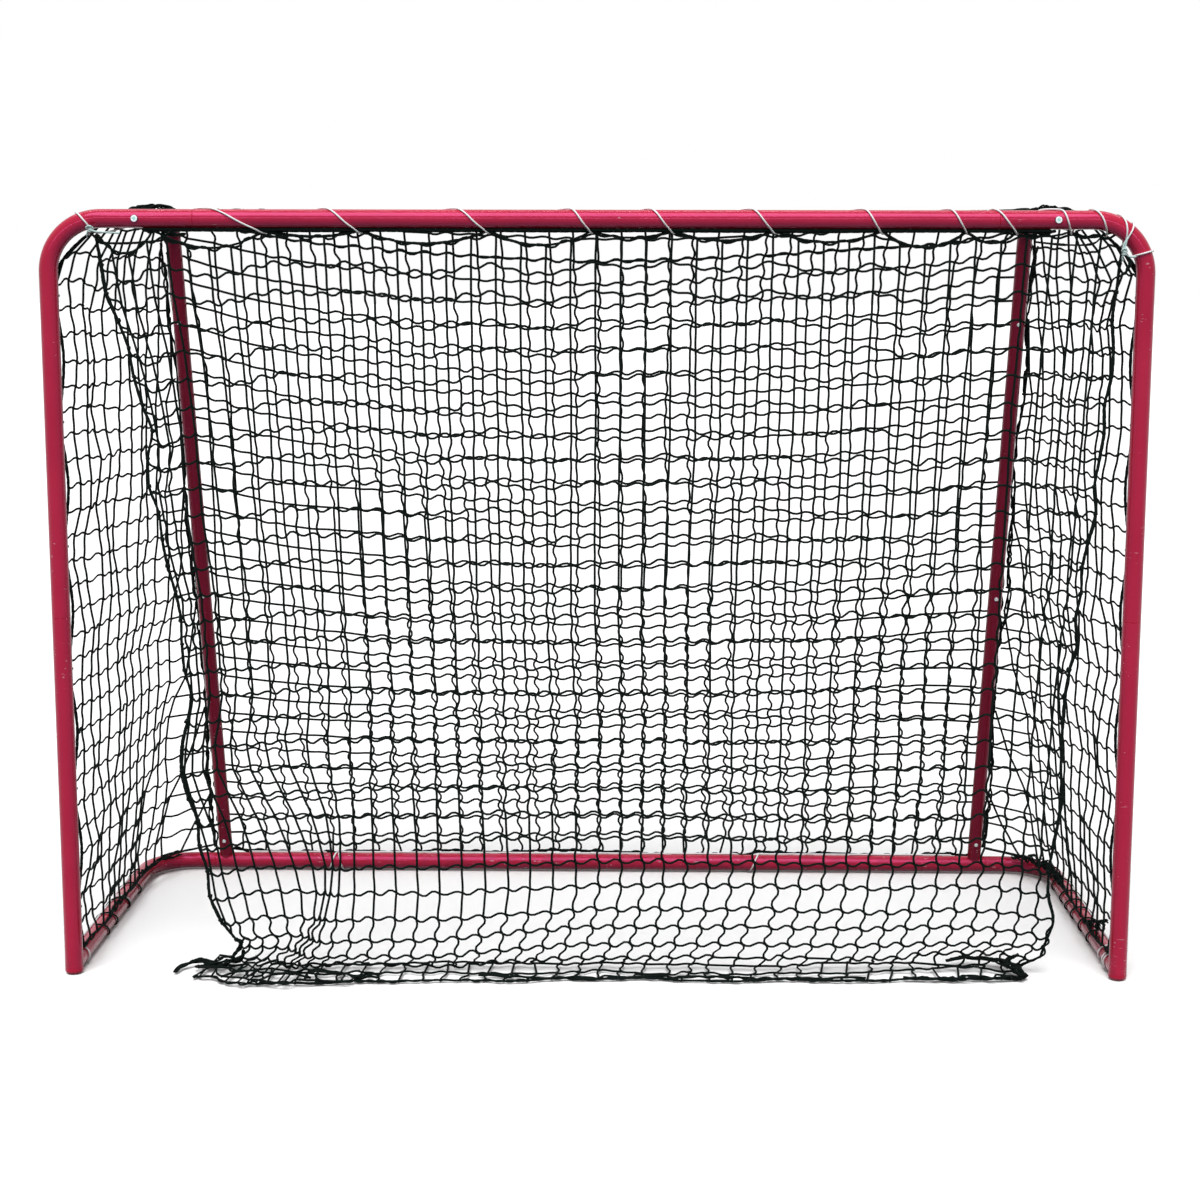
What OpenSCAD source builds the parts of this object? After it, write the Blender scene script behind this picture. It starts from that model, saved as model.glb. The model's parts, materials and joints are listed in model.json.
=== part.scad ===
// Hockey goal: a knock-down tube frame, a main net round its sides, top and back,
// and a drop net that hangs from the crossbar across the mouth.
// X runs across the mouth, Y runs back from it and Z is up from the floor. All sizes are millimetres.
// Modules work in goal-line coordinates: Y = 0 is the plane of the posts. place() then moves each
// node so that the origin is the middle of the whole goal's footprint on the floor.

/* [Mouth] */
// Clear width between the posts
opening_w = 1600; // [1300:10:1830]
// Clear height from the floor to the crossbar
opening_h = 1150; // [1000:5:1220]
// Outside diameter of the posts, crossbar and base rails
tube_d = 28; // [26:1:32]
// Wall of the mouth and base tubes
tube_wall = 1.5; // [1.2:0.1:2]
// Centre-line bend radius of the top and base corners
bend_r = 80; // [60:5:110]

/* [Base and stanchions] */
// Goal line to the middle of the back rail
base_depth = 585; // [520:5:700]
// Goal line to where the arm and the stanchion lines meet
top_depth = 255; // [200:5:300]
// Outside diameter of the stanchion tubes
stanchion_d = 24; // [22:1:26]
// Wall of the stanchion tubes
stanchion_wall = 1.5; // [1.2:0.1:2]
// Post centre to stanchion centre, across the goal
stanchion_inset = 134; // [125:1:150]
// Centre-line bend radius of the stanchion arm
arm_bend_r = 50; // [40:2:60]
// Length of one stanchion tube between its two seams
stanchion_len = 490; // [400:5:495]

/* [Seams] */
// Height of the seam in each post
post_seam_z = 564; // [520:2:600]
// From each crossbar bolt in to the crossbar's seam
bolt_to_seam = 85; // [70:5:120]
// Length of each reduced spigot of the mouth tubes
spigot_len = 55; // [40:5:60]
// Gap all round a spigot in its socket
spigot_gap = 0.1; // [0.05:0.05:0.2]
// Chamfer on the visible end of a tube
tube_chamfer = 0.6; // [0.3:0.1:1]
// Length of the welded stub behind each post, from the post's centre
stub_len = 50; // [45:1:70]
// Length of the back rail's spigots
rail_spigot_len = 28; // [20:1:30]
// Back rail seam to the stanchion's centre
rail_seam_inset = 20; // [18:1:24]

/* [Feet] */
// Height of the rounded foot cap under each post
foot_h = 10; // [8:1:14]
// Edge radius of the foot cap
foot_round = 6; // [3:0.5:7]
// Length of the foot cap's plug inside the post
foot_plug_len = 18; // [12:1:30]

/* [Fasteners] */
// Shank diameter of the crossbar bolts
crossbar_bolt_d = 6; // [5:1:6]
// Head diameter of the crossbar bolts
crossbar_head_d = 11; // [10:0.5:12]
// Head height of the crossbar bolts
crossbar_head_h = 3.6; // [3:0.2:5]
// Shank diameter of the stanchion bolts
stanchion_bolt_d = 4; // [3.5:0.5:5]
// Head diameter of the stanchion bolts
stanchion_head_d = 6.8; // [6.6:0.2:8]
// Head height of the stanchion bolts
stanchion_head_h = 2.4; // [2:0.2:4]
// Distance from a stanchion seam up to its bolt
bolt_above_seam = 31; // [24:1:34]
// Width across the corners of the stanchion nuts
nut_d = 8.1; // [8:0.1:9]
// Height of the stanchion nuts
nut_h = 4; // [3:0.5:5]
// Gap all round a bolt in its hole
bolt_gap = 0.1; // [0.05:0.05:0.2]
// Length of the threaded insert in the end of each arm
insert_len = 28; // [20:1:35]

/* [Net hooks] */
// Hooks on each post
hook_count = 6; // [4:1:7]
// Height of the lowest hook
hook_first_z = 100; // [80:5:120]
// Highest hook to the start of the top bend
hook_top_gap = 34; // [20:2:60]
// Thickness of a hook's arm
hook_d = 4; // [3:0.5:5]
// Diameter of a hook's flange
hook_flange_d = 9; // [8:0.5:11]

/* [Nets] */
// Twine of the nets
twine_d = 2.6; // [2:0.2:3]
// Border rope of the nets
rope_d = 6; // [5:0.5:8]
// Gaps across the drop net
drop_cols = 12; // [8:1:12]
// Gaps down the drop net
drop_rows = 8; // [6:1:9]
// Gaps across the back net and the top net
back_cols = 12; // [8:2:12]
// Gaps up the back net
back_rows = 7; // [5:1:7]
// Gaps up each side net
side_rows = 7; // [5:1:7]
// Sag of the top net between the arms
top_sag = 14; // [0:1:30]
// How far the floor bundle of the drop net reaches in front of the goal line
bundle_front = 50; // [40:1:60]
// How far the floor bundle reaches behind the goal line
bundle_back = 46; // [35:1:60]
// Height of the floor bundle at its thickest
bundle_h = 30; // [22:1:36]

/* [Lacing cord] */
// Diameter of the white lacing cord
cord_d = 3; // [2.5:0.25:3.5]
// Least gap between the cord and the tube it winds round
cord_gap = 0.1; // [0.05:0.05:0.3]
// Depth of the flat where a cord under a base rail meets the floor
cord_flat = 0.3; // [0.2:0.05:0.4]

/* [Fit] */
// Gap between pieces that rest on each other
seat_gap = 0.3; // [0.2:0.05:0.4]

/* [Hidden] */
$fn = 48;
tube_r = tube_d / 2;
stanchion_r = stanchion_d / 2;
rope_r = rope_d / 2;
twine_r = twine_d / 2;
post_x = opening_w / 2 + tube_r;
elbow_x = post_x - bend_r;
top_z = opening_h + tube_r;
stanchion_x = post_x - stanchion_inset;
seam_x = stanchion_x - bolt_to_seam;
rail_seam_x = stanchion_x + rail_seam_inset;
// The cords are six-sided and bend in steps round the tube, with a flat side towards it
cord_sides = 6;
cord_step = 30;
cord_flat_r = cord_d / 2 * cos(180 / cord_sides);
lace_r = (tube_r + cord_gap + cord_flat_r) / cos(cord_step / 2);
lace_outer_r = lace_r + cord_flat_r;
rail_z = lace_outer_r - cord_flat;
// Middle of the footprint, measured back from the goal line
mid_y = (base_depth + lace_outer_r - bundle_front) / 2;
// The stanchion's lean and its length from the back rail to where it meets the arm's line
lean = atan2(base_depth - top_depth, top_z - rail_z);
lean_len = norm([base_depth - top_depth, top_z - rail_z]);
arm_tangent = arm_bend_r * tan((90 - lean) / 2);
foot_weld_len = 2;
foot_seam = tube_r + seat_gap + foot_weld_len;
seams = [foot_seam, foot_seam + stanchion_len, foot_seam + 2 * stanchion_len];
spigot_past_bolt = 22;
stanchion_spigot_len = bolt_above_seam + spigot_past_bolt;
socket_r = stanchion_r - stanchion_wall;
stanchion_spigot_r = socket_r - spigot_gap;
stanchion_spigot_wall = 1.3;
crossbar_spigot_r = tube_r - tube_wall - spigot_gap;
// Inside a reduced tube: the neck's length, the step's thickness and the chamfer on its nose
neck_len = 6;
neck_step = 2;
nose_len = 1;
nose_in = 0.6;
// Hooks: the border rope runs beside each hook's arm, between its flange and its tip
hook_pitch = (top_z - bend_r - hook_top_gap - hook_first_z) / (hook_count - 1);
hook_flange_h = 2;
hook_stem_in = 5;
hook_flange_y = tube_r + seat_gap;
hook_rope_y = hook_flange_y + hook_flange_h + seat_gap + rope_r;
hook_tip_y = hook_rope_y + rope_r + seat_gap + hook_d / 2;
hook_rope_x = post_x - hook_d / 2 - seat_gap - rope_r;
hook_tip_past_rope = 1;
hook_tip_len = hook_d / 2 + rope_d + hook_tip_past_rope;
// Distance from a tube's centre to a rope that rests on the cord round that tube
rope_on_lace_r = lace_outer_r + seat_gap + rope_r;
// The ropes beside and behind a stanchion, in the stanchion's own frame
rope_past_stanchion = 2;
back_edge_x = stanchion_x + stanchion_r + rope_past_stanchion;
bolt_past_nut = 1;
bolt_end = nut_h + bolt_past_nut;
back_plane = stanchion_r + bolt_end + seat_gap + rope_r;
side_edge_x = back_edge_x + rope_d + seat_gap;
side_plane = back_plane - rope_r;
bolt_pan_r = 1.2;
// Half turns of the cord round the crossbar from the left knot to the right one: share of the
// straight half length, share of the bend radius past that, and degrees round from the top
lace_keys = [
    [-1, -0.325, -180], [-1, -0.275, -180], [-1, -0.4, 0], [-1, -0.125, 180], [-1, 1.05, 196],
    [-0.786, 0, 360], [-0.668, 0, 540], [-0.546, 0, 720], [-0.474, 0, 900], [-0.282, 0, 1080],
    [-0.215, 0, 1260], [-0.052, 0, 1440], [-0.007, 0, 1620], [0.109, 0, 1800], [0.157, 0, 1980],
    [0.312, 0, 2160], [0.361, 0, 2340], [0.538, 0, 2520], [0.576, 0, 2700], [0.71, 0, 2880],
    [0.748, 0, 3060], [1, -1.85, 3240], [1, -1.387, 3420], [1, -0.95, 3588], [1, -0.6, 3612],
    [1, -0.4, 3780], [1, -0.037, 3960], [1, 0.35, 4140], [1, 0.45, 4320], [1, 0.725, 4500],
    [1, 0.65, 4680], [1, 0.825, 4860], [1, 1.175, 5040], [1, 0.975, 5220], [1, 0.925, 5220]
];
lace_knots = [[-1, -0.3], [1, 0.95]];
// The cords round the base rails: share of the base's depth, or of the way from the middle to a
// stanchion, and degrees round from the top
left_rail_keys = [
    [0.0479, -30], [0.0564, -30], [0.0684, 150], [0.1094, 330], [0.5128, 330], [0.5675, 510],
    [0.5983, 690], [0.735, 690], [0.7453, 690]
];
right_rail_keys = [
    [0.041, -30], [0.0496, -30], [0.0564, 150], [0.0667, 330], [0.0752, 510], [0.1128, 690],
    [0.1265, 870], [0.1641, 1050], [0.735, 1050], [0.7453, 1050]
];
back_rail_keys = [
    [-0.9412, 40], [-0.9324, 40], [-0.7353, 40], [-0.7235, 220], [-0.7147, 400], [-0.7059, 580],
    [-0.6912, 760], [0.3676, 760], [0.4, 940], [0.4294, 1120], [0.9324, 1120], [0.9412, 1120]
];
// The drop net's two edges: height as a share of the net, then distance from the middle as a share
// of the distance to a post
drop_left_edge = [[0, 0.737], [0.35, 0.764], [0.6, 0.799], [0.85, 0.862], [1, 0.891]];
drop_right_edge = [[0, 0.848], [0.35, 0.875], [0.6, 0.903], [0.85, 0.936], [1, 0.891]];
// The floor bundle: place along X as such a share, then half width and height as shares of the
// thickest
bundle_profile = [
    [-0.805, 0.16, 0.25], [-0.768, 0.34, 0.4], [-0.719, 0.8, 0.75], [-0.651, 1, 0.95],
    [-0.577, 0.92, 0.8], [-0.491, 0.85, 0.9], [-0.393, 0.7, 0.62], [-0.283, 0.62, 0.5],
    [-0.147, 0.5, 0.45], [0, 0.45, 0.4], [0.147, 0.48, 0.42], [0.295, 0.45, 0.4],
    [0.43, 0.52, 0.46], [0.553, 0.6, 0.62], [0.651, 0.8, 0.9], [0.725, 0.95, 1],
    [0.78, 0.8, 0.85], [0.813, 0.4, 0.4]
];
paint = "#b22e4a";
net_colour = "#14231e";
cord_colour = "#e9f1ef";
zinc = "#b9bec2";

// ---------- placing ----------

module place() {
    translate([0, -mid_y, 0]) children();
}

// side is -1 for the left of the goal and 1 for the right
module on_side(side) {
    mirror([side < 0 ? 1 : 0, 0, 0]) children();
}

// Z runs up the stanchion from the back rail's centre, and Y points back out of it
module on_stanchion() {
    translate([stanchion_x, base_depth, rail_z]) rotate([lean, 0, 0]) children();
}

// A point given in the stanchion's own frame, moved to the goal's
function from_stanchion(x, back, up) = [
    x,
    base_depth - up * sin(lean) + back * cos(lean),
    rail_z + up * cos(lean) + back * sin(lean)
];

// ---------- tubes ----------

// A tube along Z from 0 to length, with chamfered ends where they show
module straight_tube(length, r, wall, start_chamfer = 0, end_chamfer = 0) {
    rotate_extrude() polygon([
        [r - wall, 0], [r - start_chamfer, 0], [r, start_chamfer],
        [r, length - end_chamfer], [r - end_chamfer, length], [r - wall, length]
    ]);
}

// A tube along Z whose upper end is reduced to a spigot
module spigot_tube(length, r, wall, spigot_r, spigot_wall, spigot, start_chamfer) {
    rotate_extrude() polygon([
        [r - wall, 0], [r - start_chamfer, 0], [r, start_chamfer],
        [r, length - tube_chamfer], [r - tube_chamfer, length], [spigot_r, length],
        [spigot_r, length + spigot - nose_len], [spigot_r - nose_in, length + spigot],
        [spigot_r - spigot_wall, length + spigot], [spigot_r - spigot_wall, length - neck_step],
        [r - wall, length - neck_len]
    ]);
}

// A bend in the XY plane about Z, from angle 0 to angle
module bend(radius, angle, r, wall) {
    rotate_extrude(angle = angle) translate([radius, 0]) difference() {
        circle(r);
        circle(r - wall);
    }
}

module corner_tube(side) {
    color(paint) place() on_side(side) difference() {
        union() {
            translate([seam_x, 0, top_z]) rotate([0, 90, 0])
                straight_tube(elbow_x - seam_x, tube_r, tube_wall, tube_chamfer);
            translate([elbow_x, 0, top_z - bend_r]) rotate([90, 0, 0])
                bend(bend_r, 90, tube_r, tube_wall);
            translate([post_x, 0, post_seam_z])
                straight_tube(top_z - bend_r - post_seam_z, tube_r, tube_wall, tube_chamfer);
        }
        translate([stanchion_x, 0, top_z]) rotate([90, 0, 0])
            cylinder(r = crossbar_bolt_d / 2 + bolt_gap, h = tube_d + 2, center = true);
        hook_holes();
    }
}

module crossbar_tube() {
    color(paint) place() translate([0, 0, top_z]) for (side = [-1, 1]) on_side(side)
        rotate([0, 90, 0])
            spigot_tube(seam_x, tube_r, tube_wall, crossbar_spigot_r, tube_wall, spigot_len, 0);
}

// The lower post with its spigot on top and a welded stub behind its foot
module post_tube(side) {
    color(paint) place() on_side(side) difference() {
        union() {
            translate([post_x, 0, foot_h])
                spigot_tube(post_seam_z - foot_h, tube_r, tube_wall, crossbar_spigot_r, tube_wall,
                    spigot_len, 0);
            translate([post_x, 0, rail_z]) rotate([-90, 0, 0]) difference() {
                spigot_tube(stub_len, tube_r, tube_wall, crossbar_spigot_r, tube_wall,
                    rail_spigot_len, 0);
                rotate([90, 0, 0]) cylinder(r = tube_r - tube_wall / 2, h = 4 * tube_d, center = true);
            }
        }
        translate([post_x, 0, -1]) cylinder(r = tube_r + seat_gap, h = foot_h + 1);
        hook_holes();
    }
}

module foot_cap(side) {
    color(paint) place() on_side(side) translate([post_x, 0, 0]) rotate_extrude() difference() {
        union() {
            square([tube_r, foot_h - seat_gap / 3]);
            square([tube_r - tube_wall - spigot_gap, foot_h + foot_plug_len]);
        }
        difference() {
            translate([tube_r - foot_round, 0]) square([foot_round + 1, foot_round]);
            translate([tube_r - foot_round, foot_round]) circle(foot_round);
        }
    }
}

module base_rail(side) {
    color(paint) place() on_side(side) translate([0, 0, rail_z]) {
        translate([post_x, stub_len, 0]) rotate([-90, 0, 0])
            straight_tube(base_depth - bend_r - stub_len, tube_r, tube_wall, tube_chamfer);
        translate([elbow_x, base_depth - bend_r, 0]) bend(bend_r, 90, tube_r, tube_wall);
        translate([rail_seam_x, base_depth, 0]) rotate([0, 90, 0])
            straight_tube(elbow_x - rail_seam_x, tube_r, tube_wall, tube_chamfer);
    }
}

// The back rail with a welded upright spigot for each stanchion
module back_rail() {
    color(paint) place() for (side = [-1, 1]) on_side(side) difference() {
        union() {
            translate([0, base_depth, rail_z]) rotate([0, 90, 0])
                spigot_tube(rail_seam_x, tube_r, tube_wall, crossbar_spigot_r, tube_wall,
                    rail_spigot_len, 0);
            difference() {
                on_stanchion() straight_tube(foot_seam + stanchion_spigot_len, stanchion_spigot_r,
                    stanchion_spigot_wall, 0, nose_in);
                translate([0, base_depth, rail_z]) rotate([0, 90, 0])
                    cylinder(r = tube_r - tube_wall / 2, h = 2 * post_x);
            }
        }
        stanchion_bolt_hole(0);
    }
}

// ---------- stanchions ----------

module stanchion_bolt_hole(seam) {
    on_stanchion() translate([0, 0, seams[seam] + bolt_above_seam]) rotate([90, 0, 0])
        cylinder(r = stanchion_bolt_d / 2 + bolt_gap, h = 2 * stanchion_d, center = true);
}

module stanchion_arm(side) {
    color(paint) place() on_side(side) difference() {
        union() {
            translate([stanchion_x, 0, top_z]) rotate([-90, 0, 0])
                straight_tube(top_depth - arm_tangent, stanchion_r, stanchion_wall);
            translate([stanchion_x, top_depth - arm_tangent, top_z - arm_bend_r])
                rotate([90, 0, 90]) rotate([0, 0, lean]) {
                bend(arm_bend_r, 90 - lean, stanchion_r, stanchion_wall);
                translate([arm_bend_r, 0, 0]) rotate([90, 0, 0])
                    straight_tube(lean_len - arm_tangent - seams[2], stanchion_r, stanchion_wall,
                        0, tube_chamfer);
            }
        }
        translate([stanchion_x, 0, top_z]) rotate([0, 90, 0])
            cylinder(r = tube_r + cord_gap, h = 2 * stanchion_d, center = true);
        stanchion_bolt_hole(2);
    }
}

module stanchion_upper(side) {
    color(paint) place() on_side(side) difference() {
        on_stanchion() translate([0, 0, seams[1]])
            spigot_tube(stanchion_len, stanchion_r, stanchion_wall, stanchion_spigot_r,
                stanchion_spigot_wall, stanchion_spigot_len, tube_chamfer);
        stanchion_bolt_hole(1);
        stanchion_bolt_hole(2);
    }
}

module stanchion_lower(side) {
    color(paint) place() on_side(side) difference() {
        on_stanchion() translate([0, 0, seams[0]])
            spigot_tube(stanchion_len, stanchion_r, stanchion_wall, stanchion_spigot_r,
                stanchion_spigot_wall, stanchion_spigot_len, tube_chamfer);
        stanchion_bolt_hole(0);
        stanchion_bolt_hole(1);
    }
}

// ---------- fasteners ----------

// A bolt along +Z whose head sits below Z = 0
module pan_bolt(shank_d, length, head_d, head_h) {
    rotate_extrude() difference() {
        union() {
            square([shank_d / 2, length]);
            translate([0, -head_h]) square([head_d / 2, head_h]);
        }
        difference() {
            translate([head_d / 2 - bolt_pan_r, -head_h]) square([bolt_pan_r + 1, bolt_pan_r]);
            translate([head_d / 2 - bolt_pan_r, bolt_pan_r - head_h]) circle(bolt_pan_r);
        }
    }
}

module crossbar_bolts() {
    color(zinc) place() for (side = [-1, 1]) on_side(side)
        translate([stanchion_x, -tube_r, top_z]) rotate([-90, 0, 0])
            pan_bolt(crossbar_bolt_d, tube_d + insert_len, crossbar_head_d, crossbar_head_h);
}

module arm_inserts() {
    color(zinc) place() for (side = [-1, 1]) on_side(side)
        translate([stanchion_x, tube_r + 1, top_z]) rotate([-90, 0, 0]) difference() {
            cylinder(r = stanchion_spigot_r, h = insert_len);
            translate([0, 0, -1]) cylinder(r = crossbar_bolt_d / 2 + bolt_gap, h = insert_len + 2);
        }
}

module stanchion_bolts() {
    color(zinc) place() for (side = [-1, 1]) on_side(side) on_stanchion() for (seam = seams)
        translate([0, -stanchion_r, seam + bolt_above_seam]) rotate([-90, 0, 0])
            pan_bolt(stanchion_bolt_d, stanchion_d + bolt_end, stanchion_head_d, stanchion_head_h);
}

module stanchion_nuts() {
    color(zinc) place() for (side = [-1, 1]) on_side(side) on_stanchion() for (seam = seams)
        translate([0, stanchion_r, seam + bolt_above_seam]) rotate([-90, 0, 0]) difference() {
            cylinder(d = nut_d, h = nut_h, $fn = 6);
            translate([0, 0, -1]) cylinder(r = stanchion_bolt_d / 2 + bolt_gap / 2, h = nut_h + 2);
        }
}

// ---------- net hooks ----------

function hook_heights() = [for (i = [0 : hook_count - 1]) hook_first_z + i * hook_pitch];

module hook_holes() {
    for (z = hook_heights()) translate([post_x, tube_r, z]) rotate([90, 0, 0])
        cylinder(r = hook_d / 2 + bolt_gap, h = 2 * hook_stem_in, center = true);
}

// Push-in hooks: a stem through the post's back wall, a flange, and an arm with a sideways tip
module net_hooks(side) {
    color("#2a2c2e") place() on_side(side) for (z = hook_heights()) translate([post_x, 0, z]) {
        translate([0, tube_r - hook_stem_in + 1, 0]) rotate([-90, 0, 0])
            cylinder(d = hook_d, h = hook_tip_y - tube_r + hook_stem_in - 1);
        translate([0, hook_flange_y, 0]) rotate([-90, 0, 0])
            cylinder(d = hook_flange_d, h = hook_flange_h);
        translate([0, hook_tip_y, 0]) sphere(d = hook_d);
        translate([0, hook_tip_y, 0]) rotate([0, -90, 0]) cylinder(d = hook_d, h = hook_tip_len);
    }
}

// ---------- nets ----------

function blend_of(a, b, t) = a + (b - a) * t;
function unit(v) = v / norm(v);

// A net as one closed solid. knots[i][j] are its crossings; each bar between two of them has a
// diamond section, of the rope's size along the border and of the twine's inside it.
module knotted_net(knots, edge_r = rope_r) {
    nu = len(knots) - 1;
    nv = len(knots[0]) - 1;
    count = (nu + 1) * (nv + 1);
    function border_r(i, last) = i == 0 || i == last ? edge_r : twine_r;
    function along_u(i, j) = unit(knots[min(i + 1, nu)][j] - knots[max(i - 1, 0)][j]);
    function along_v(i, j) = unit(knots[i][min(j + 1, nv)] - knots[i][max(j - 1, 0)]);
    function ridge(i, j) = unit(cross(along_u(i, j), along_v(i, j)))
        * max(border_r(i, nu), border_r(j, nv));
    function shifted(i, j, su, sv) = knots[i][j] + along_u(i, j) * su * border_r(i, nu)
        + along_v(i, j) * sv * border_r(j, nv);
    function knot_at(i, j) = i * (nv + 1) + j;
    function hole_at(i, j, corner) = 2 * count + 4 * (i * nv + j) + corner;
    rim_start = 2 * count + 4 * nu * nv;
    // The rim goes round the border once: along j = 0, i = nu, j = nv and i = 0
    rim = concat(
        [for (i = [0 : nu - 1]) [i, 0]], [for (j = [0 : nv - 1]) [nu, j]],
        [for (i = [nu : -1 : 1]) [i, nv]], [for (j = [nv : -1 : 1]) [0, j]]
    );
    function outward(k, last) = k == 0 ? -1 : k == last ? 1 : 0;
    points = concat(
        [for (i = [0 : nu], j = [0 : nv]) knots[i][j] + ridge(i, j)],
        [for (i = [0 : nu], j = [0 : nv]) knots[i][j] - ridge(i, j)],
        [for (i = [0 : nu - 1], j = [0 : nv - 1]) each [
            shifted(i, j, 1, 1), shifted(i + 1, j, -1, 1),
            shifted(i + 1, j + 1, -1, -1), shifted(i, j + 1, 1, -1)
        ]],
        [for (k = rim) shifted(k[0], k[1], outward(k[0], nu), outward(k[1], nv))]
    );
    // One quadrilateral on the upper side and its mirror on the lower side, as four triangles
    function both_sides(a, b, c, d) = [
        [b, a, d], [b, d, c], [a + count, b + count, c], [a + count, c, d]
    ];
    faces = concat(
        [for (i = [0 : nu - 1], j = [0 : nv - 1]) each concat(
            both_sides(knot_at(i, j), knot_at(i + 1, j), hole_at(i, j, 1), hole_at(i, j, 0)),
            both_sides(knot_at(i + 1, j), knot_at(i + 1, j + 1), hole_at(i, j, 2), hole_at(i, j, 1)),
            both_sides(knot_at(i + 1, j + 1), knot_at(i, j + 1), hole_at(i, j, 3), hole_at(i, j, 2)),
            both_sides(knot_at(i, j + 1), knot_at(i, j), hole_at(i, j, 0), hole_at(i, j, 3))
        )],
        [for (k = [0 : len(rim) - 1]) let (n = (k + 1) % len(rim)) each both_sides(
            knot_at(rim[n][0], rim[n][1]), knot_at(rim[k][0], rim[k][1]),
            rim_start + k, rim_start + n
        )]
    );
    polyhedron(points = points, faces = faces);
}

// The side net runs from the hooks behind the post and the corner to the stanchion. Its front edge
// climbs the post and follows the bend; its foot lies on the base rail.
side_foot_x = post_x - rope_on_lace_r / 2;
side_foot_z = rail_z + rope_on_lace_r * sqrt(3) / 2;
side_foot_turn = bend_r - rope_on_lace_r / 2;
side_foot_start_z = rail_z + sqrt(pow(rope_on_lace_r, 2) - pow(post_x - hook_rope_x, 2));
side_foot = [
    [hook_rope_x, hook_rope_y, side_foot_start_z],
    [side_foot_x, 0.28 * base_depth, side_foot_z],
    [side_foot_x, 0.52 * base_depth, side_foot_z],
    [side_foot_x, 0.74 * base_depth, side_foot_z],
    [elbow_x + side_foot_turn * sin(45), base_depth - bend_r + side_foot_turn * cos(45), side_foot_z],
    from_stanchion(side_edge_x, side_plane, rope_on_lace_r + 2)
];
side_head_front = [elbow_x + bend_r / 4, hook_rope_y, top_z - rope_on_lace_r];
side_head_back = from_stanchion(side_edge_x, side_plane, lean_len - arm_tangent);
side_front_top = [hook_rope_x, hook_rope_y, top_z - bend_r];

// Front edge of the side net: straight up the post, and the last row leans in over the bend
function side_front(v) = v < 1
    ? blend_of(side_foot[0], side_front_top, v * side_rows / (side_rows - 1))
    : side_head_front;
function side_back(v) = blend_of(side_foot[5], side_head_back, v);
function side_knot(k, v) = let (
    u = (side_foot[k][1] - side_foot[0][1]) / (side_foot[5][1] - side_foot[0][1]),
    ruled = blend_of(side_front(v), side_back(v), u),
    straight_foot = blend_of(side_foot[0], side_foot[5], u)
) ruled + (side_foot[k] - straight_foot) * (1 - v) * (1 - v);

module net_side(side) {
    color(net_colour) place() on_side(side)
        knotted_net([for (k = [0 : 5]) [for (j = [0 : side_rows]) side_knot(k, j / side_rows)]]);
}

// The back net hangs behind the stanchions, and its top row bends in over the arms
back_foot_up = rope_on_lace_r + 2;
arm_top_back = [top_depth - arm_tangent, top_z - arm_bend_r];
arm_wrap_r = arm_bend_r + stanchion_r + seat_gap + rope_r;
back_head_turn = 42;
top_tail_turn = back_head_turn + 7;
function round_arm(x, turn) = [
    x, arm_top_back[0] + arm_wrap_r * cos(turn), arm_top_back[1] + arm_wrap_r * sin(turn)
];
function back_knot(x, j) = j == back_rows
    ? round_arm(x, back_head_turn)
    : from_stanchion(x, back_plane,
        blend_of(back_foot_up, lean_len - arm_tangent, j / (back_rows - 0.35)));

module net_back() {
    color(net_colour) place() knotted_net([
        for (i = [0 : back_cols]) let (x = blend_of(-back_edge_x, back_edge_x, i / back_cols))
            [for (j = [0 : back_rows]) back_knot(x, j)]
    ]);
}

// The top net starts behind the crossbar, lies on the two arms and sags between them
arm_top_z = top_z + stanchion_r + seat_gap + rope_r;
top_lift = 3;
function top_knot(i, x, j) = let (
    on_arm = i == 0 || i == back_cols,
    sag = top_sag * (1 - pow(x / back_edge_x, 2))
) j == 0 ? [x, rope_on_lace_r, on_arm ? arm_top_z + top_lift : top_z]
    : j == 1 ? [x, top_depth / 2, (on_arm ? arm_top_z + top_lift : top_z + 1) - sag]
    : round_arm(x, top_tail_turn);

module net_top() {
    edge_x = back_edge_x + 3;
    color(net_colour) place() knotted_net([
        for (i = [0 : back_cols]) let (x = blend_of(-edge_x, edge_x, i / back_cols))
            [for (j = [0 : 2]) top_knot(i, x, j)]
    ]);
}

// The drop net hangs straight down from under the crossbar's cord to the top of the floor bundle
drop_head_z = top_z - rope_on_lace_r;
// Its foot clears the highest netting within one column's width of it
function drop_foot_z(x) = seat_gap + rope_r + bundle_h * max(
    [for (p = bundle_profile) if (abs(p[0] * post_x - x) < 2 * post_x / drop_cols) p[2]]);
function drop_x(i, v) = blend_of(
    -lookup(v, drop_left_edge), lookup(v, drop_right_edge), i / drop_cols) * post_x;

module drop_net() {
    color(net_colour) place() knotted_net([
        for (i = [0 : drop_cols]) [for (j = [0 : drop_rows]) let (v = j / drop_rows)
            [drop_x(i, v), 0, blend_of(drop_foot_z(drop_x(i, 0)), drop_head_z, v)]]
    ]);
}

// The spare length of the drop net lies bunched on the floor across the mouth
module drop_net_bundle() {
    sides = 10;
    mid = (bundle_back - bundle_front) / 2;
    half = (bundle_back + bundle_front) / 2;
    rings = [for (p = bundle_profile) [for (k = [0 : sides - 1]) let (a = 180 * k / (sides - 1))
        [p[0] * post_x, mid + half * p[1] * cos(a), bundle_h * p[2] * sin(a)]]];
    last = len(rings) - 1;
    points = [for (ring = rings) each ring];
    faces = concat(
        [for (r = [0 : last - 1], k = [0 : sides - 1]) let (
            n = (k + 1) % sides, a = r * sides + k, b = r * sides + n,
            c = (r + 1) * sides + n, d = (r + 1) * sides + k
        ) each [[a, b, c], [a, c, d]]],
        [for (k = [1 : sides - 2]) [0, k + 1, k]],
        [for (k = [1 : sides - 2]) [last * sides, last * sides + k, last * sides + k + 1]]
    );
    color(net_colour) place() polyhedron(points = points, faces = faces);
}

// ---------- lacing ----------

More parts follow.
